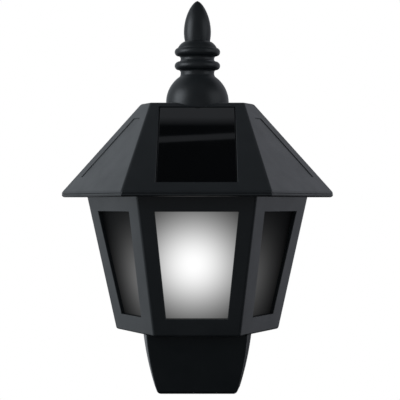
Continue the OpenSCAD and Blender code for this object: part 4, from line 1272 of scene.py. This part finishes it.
@dataclass
class Studio:
    """Camera, floor and lights.

    Attributes:
        camera_place: Where the camera is, in millimetres.
        lens: Focal length in millimetres.
        sensor: Width of the sensor in millimetres.
        shift: Shift of the lens, in widths of the picture.
        floor_z: Height of the floor, in millimetres.
        floor_size: Side of the floor, in metres.
        boxes: Soft boxes, which only reflections see.
        strip: Thin light, which only reflections see.
        lamps: The two lamps.
        backdrop: Place along Y, from 0 to 1, and brightness there, in reflections.
        dim_between: Heights between which the surroundings fade downwards.
        dim_level: What is left of them below.
        tint_reach: How far to the side a tint is full.
        plain_level: Brightness of the surroundings in plain light.
        left_tint: Colour of the left side and of the lamps.
        right_tint: Colour of the right side.
    """

    camera_place: Point = (5.3, -700.0, 10.0)
    lens: float = 103.4
    sensor: float = 36.0
    shift: tuple[float, float] = (-0.01525, 0.011)
    floor_z: float = -1300.0
    floor_size: float = 12.0
    boxes: tuple[SoftBox, ...] = (
        SoftBox((-0.92, 0.38, 0.1), 42, 72, 0.64),
        SoftBox((0.85, 0.45, 0.25), 34, 48, 0.49),
        SoftBox((0.0, -0.9, 0.45), 10, 60, 0.11),
        SoftBox((0.0, -0.97, -0.22), 8, 26, 0.22),
    )
    strip: LightStrip = LightStrip(0.1809, 0.0031, 0.7, 0.05, 0.21)
    lamps: tuple[SoftLamp, ...] = (
        SoftLamp("key", (-760, -530, 300), (0, -20, 20), 600, 3.3),
        SoftLamp("fill", (700, -500, 250), (0, -20, 0), 600, 0.8),
    )
    backdrop: tuple[tuple[float, float], ...] = (
        (0.0, 0.03), (0.02, 0.15), (0.12, 0.15), (0.13, 0.015), (0.1948, 0.015), (0.1958, 0.3),
        (0.22, 0.3), (0.24, 0.06), (0.4, 0.18), (0.7, 0.45), (0.82, 0.25), (0.9, 0.03),
        (0.96, 0.004), (1.0, 0.004),
    )
    dim_between: tuple[float, float] = (-0.5, -0.3)
    dim_level: float = 0.05
    tint_reach: float = 0.5
    plain_level: float = 0.6
    left_tint: Point = (0.93, 1.0, 1.07)
    right_tint: Point = (0.97, 1.0, 1.1)

    def build_camera(self) -> None:
        """Adds the camera at the photograph's place."""
        data = bpy.data.cameras.new("camera")
        data.lens, data.sensor_width = self.lens, self.sensor
        data.shift_x, data.shift_y = self.shift
        camera = bpy.data.objects.new("camera", data)
        camera.location = mm(*self.camera_place)
        camera.rotation_euler = (math.radians(90), 0, 0)
        bpy.context.scene.collection.objects.link(camera)
        bpy.context.scene.camera = camera

    def build_floor(self) -> None:
        """Adds the pale floor far below the hanging light."""
        floor = begin("floor", bpy.ops.mesh.primitive_plane_add, size=self.floor_size,
                      location=mm(0, 0, self.floor_z))
        # Matt paint, nearly white and without grain
        paint = PaleFloor("pale_floor", "#f2f2f2", "#f4f4f4", rough=0.9, grain=4.0, bump=0.0)
        floor.data.materials.append(paint.make())
        floor.visible_glossy = False

    def mirrored(self, tree: NodeTree) -> Node:
        """Makes the background that reflections see: backdrop, soft boxes and thin light."""
        direction = add_node(tree, "ShaderNodeTexCoord").outputs["Generated"]
        axes = add_node(tree, "ShaderNodeSeparateXYZ", links={0: direction})
        ramp = add_node(tree, "ShaderNodeValToRGB", links={0: axes.outputs["Y"]})
        while len(ramp.color_ramp.elements) < len(self.backdrop):
            ramp.color_ramp.elements.new(0.5)
        for element, (place, level) in zip(ramp.color_ramp.elements, self.backdrop):
            element.position = place
            element.color = (level, level, level, 1.0)
        level = ramp.outputs[0]
        for light in (*self.boxes, self.strip):
            links = {0: level, 1: light.add(tree, direction)}
            level = add_node(tree, "ShaderNodeMath", links=links, operation="MAXIMUM").outputs[0]
        low, high = self.dim_between
        height = add_node(tree, "ShaderNodeMapRange", links={"Value": axes.outputs["Z"]},
                          values={"From Min": low, "From Max": high, "To Min": self.dim_level})
        dimmed = add_node(tree, "ShaderNodeMath", links={0: level, 1: height.outputs[0]},
                          operation="MULTIPLY")
        side = add_node(tree, "ShaderNodeMapRange", links={"Value": axes.outputs["X"]},
                        values={"From Min": -self.tint_reach, "From Max": self.tint_reach})
        tint = add_node(tree, "ShaderNodeMix", links={"Factor": side.outputs[0]},
                        values={6: (*self.left_tint, 1), 7: (*self.right_tint, 1)}, data_type="RGBA")
        links = {"Color": tint.outputs[2], "Strength": dimmed.outputs[0]}
        return add_node(tree, "ShaderNodeBackground", links=links)

    def build_world(self) -> None:
        """Makes the white surroundings, with what only reflections see."""
        world = bpy.data.worlds.new("studio")
        bpy.context.scene.world = world
        world.use_nodes = True
        tree = world.node_tree
        tree.nodes.clear()
        mirror = self.mirrored(tree)
        plain, white = (
            add_node(tree, "ShaderNodeBackground", values={"Color": (1, 1, 1, 1), "Strength": strength})
            for strength in (self.plain_level, 1.0)
        )
        path = add_node(tree, "ShaderNodeLightPath")
        result = plain
        for ray, background in (("Is Glossy Ray", mirror), ("Is Camera Ray", white)):
            links = {0: path.outputs[ray], 1: result.outputs[0], 2: background.outputs[0]}
            result = add_node(tree, "ShaderNodeMixShader", links=links)
        add_node(tree, "ShaderNodeOutputWorld", links={"Surface": result.outputs[0]})

    def build(self) -> None:
        """Builds the stage."""
        self.build_camera()
        self.build_floor()
        for lamp in self.lamps:
            lamp.build(self.left_tint)
        self.build_world()
        bpy.context.scene.view_settings.view_transform = "Standard"


def main() -> None:
    """Builds the dressed model."""
    Studio().build()
    for assembly in (Roof(), LanternBody(), Tail(), Finial()):
        assembly.build()
    dress_nodes()
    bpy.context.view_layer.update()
    bpy.ops.object.select_all(action="DESELECT")


if __name__ == "__main__":
    logging.basicConfig(level=logging.INFO, format="%(name)s %(message)s")
    main()
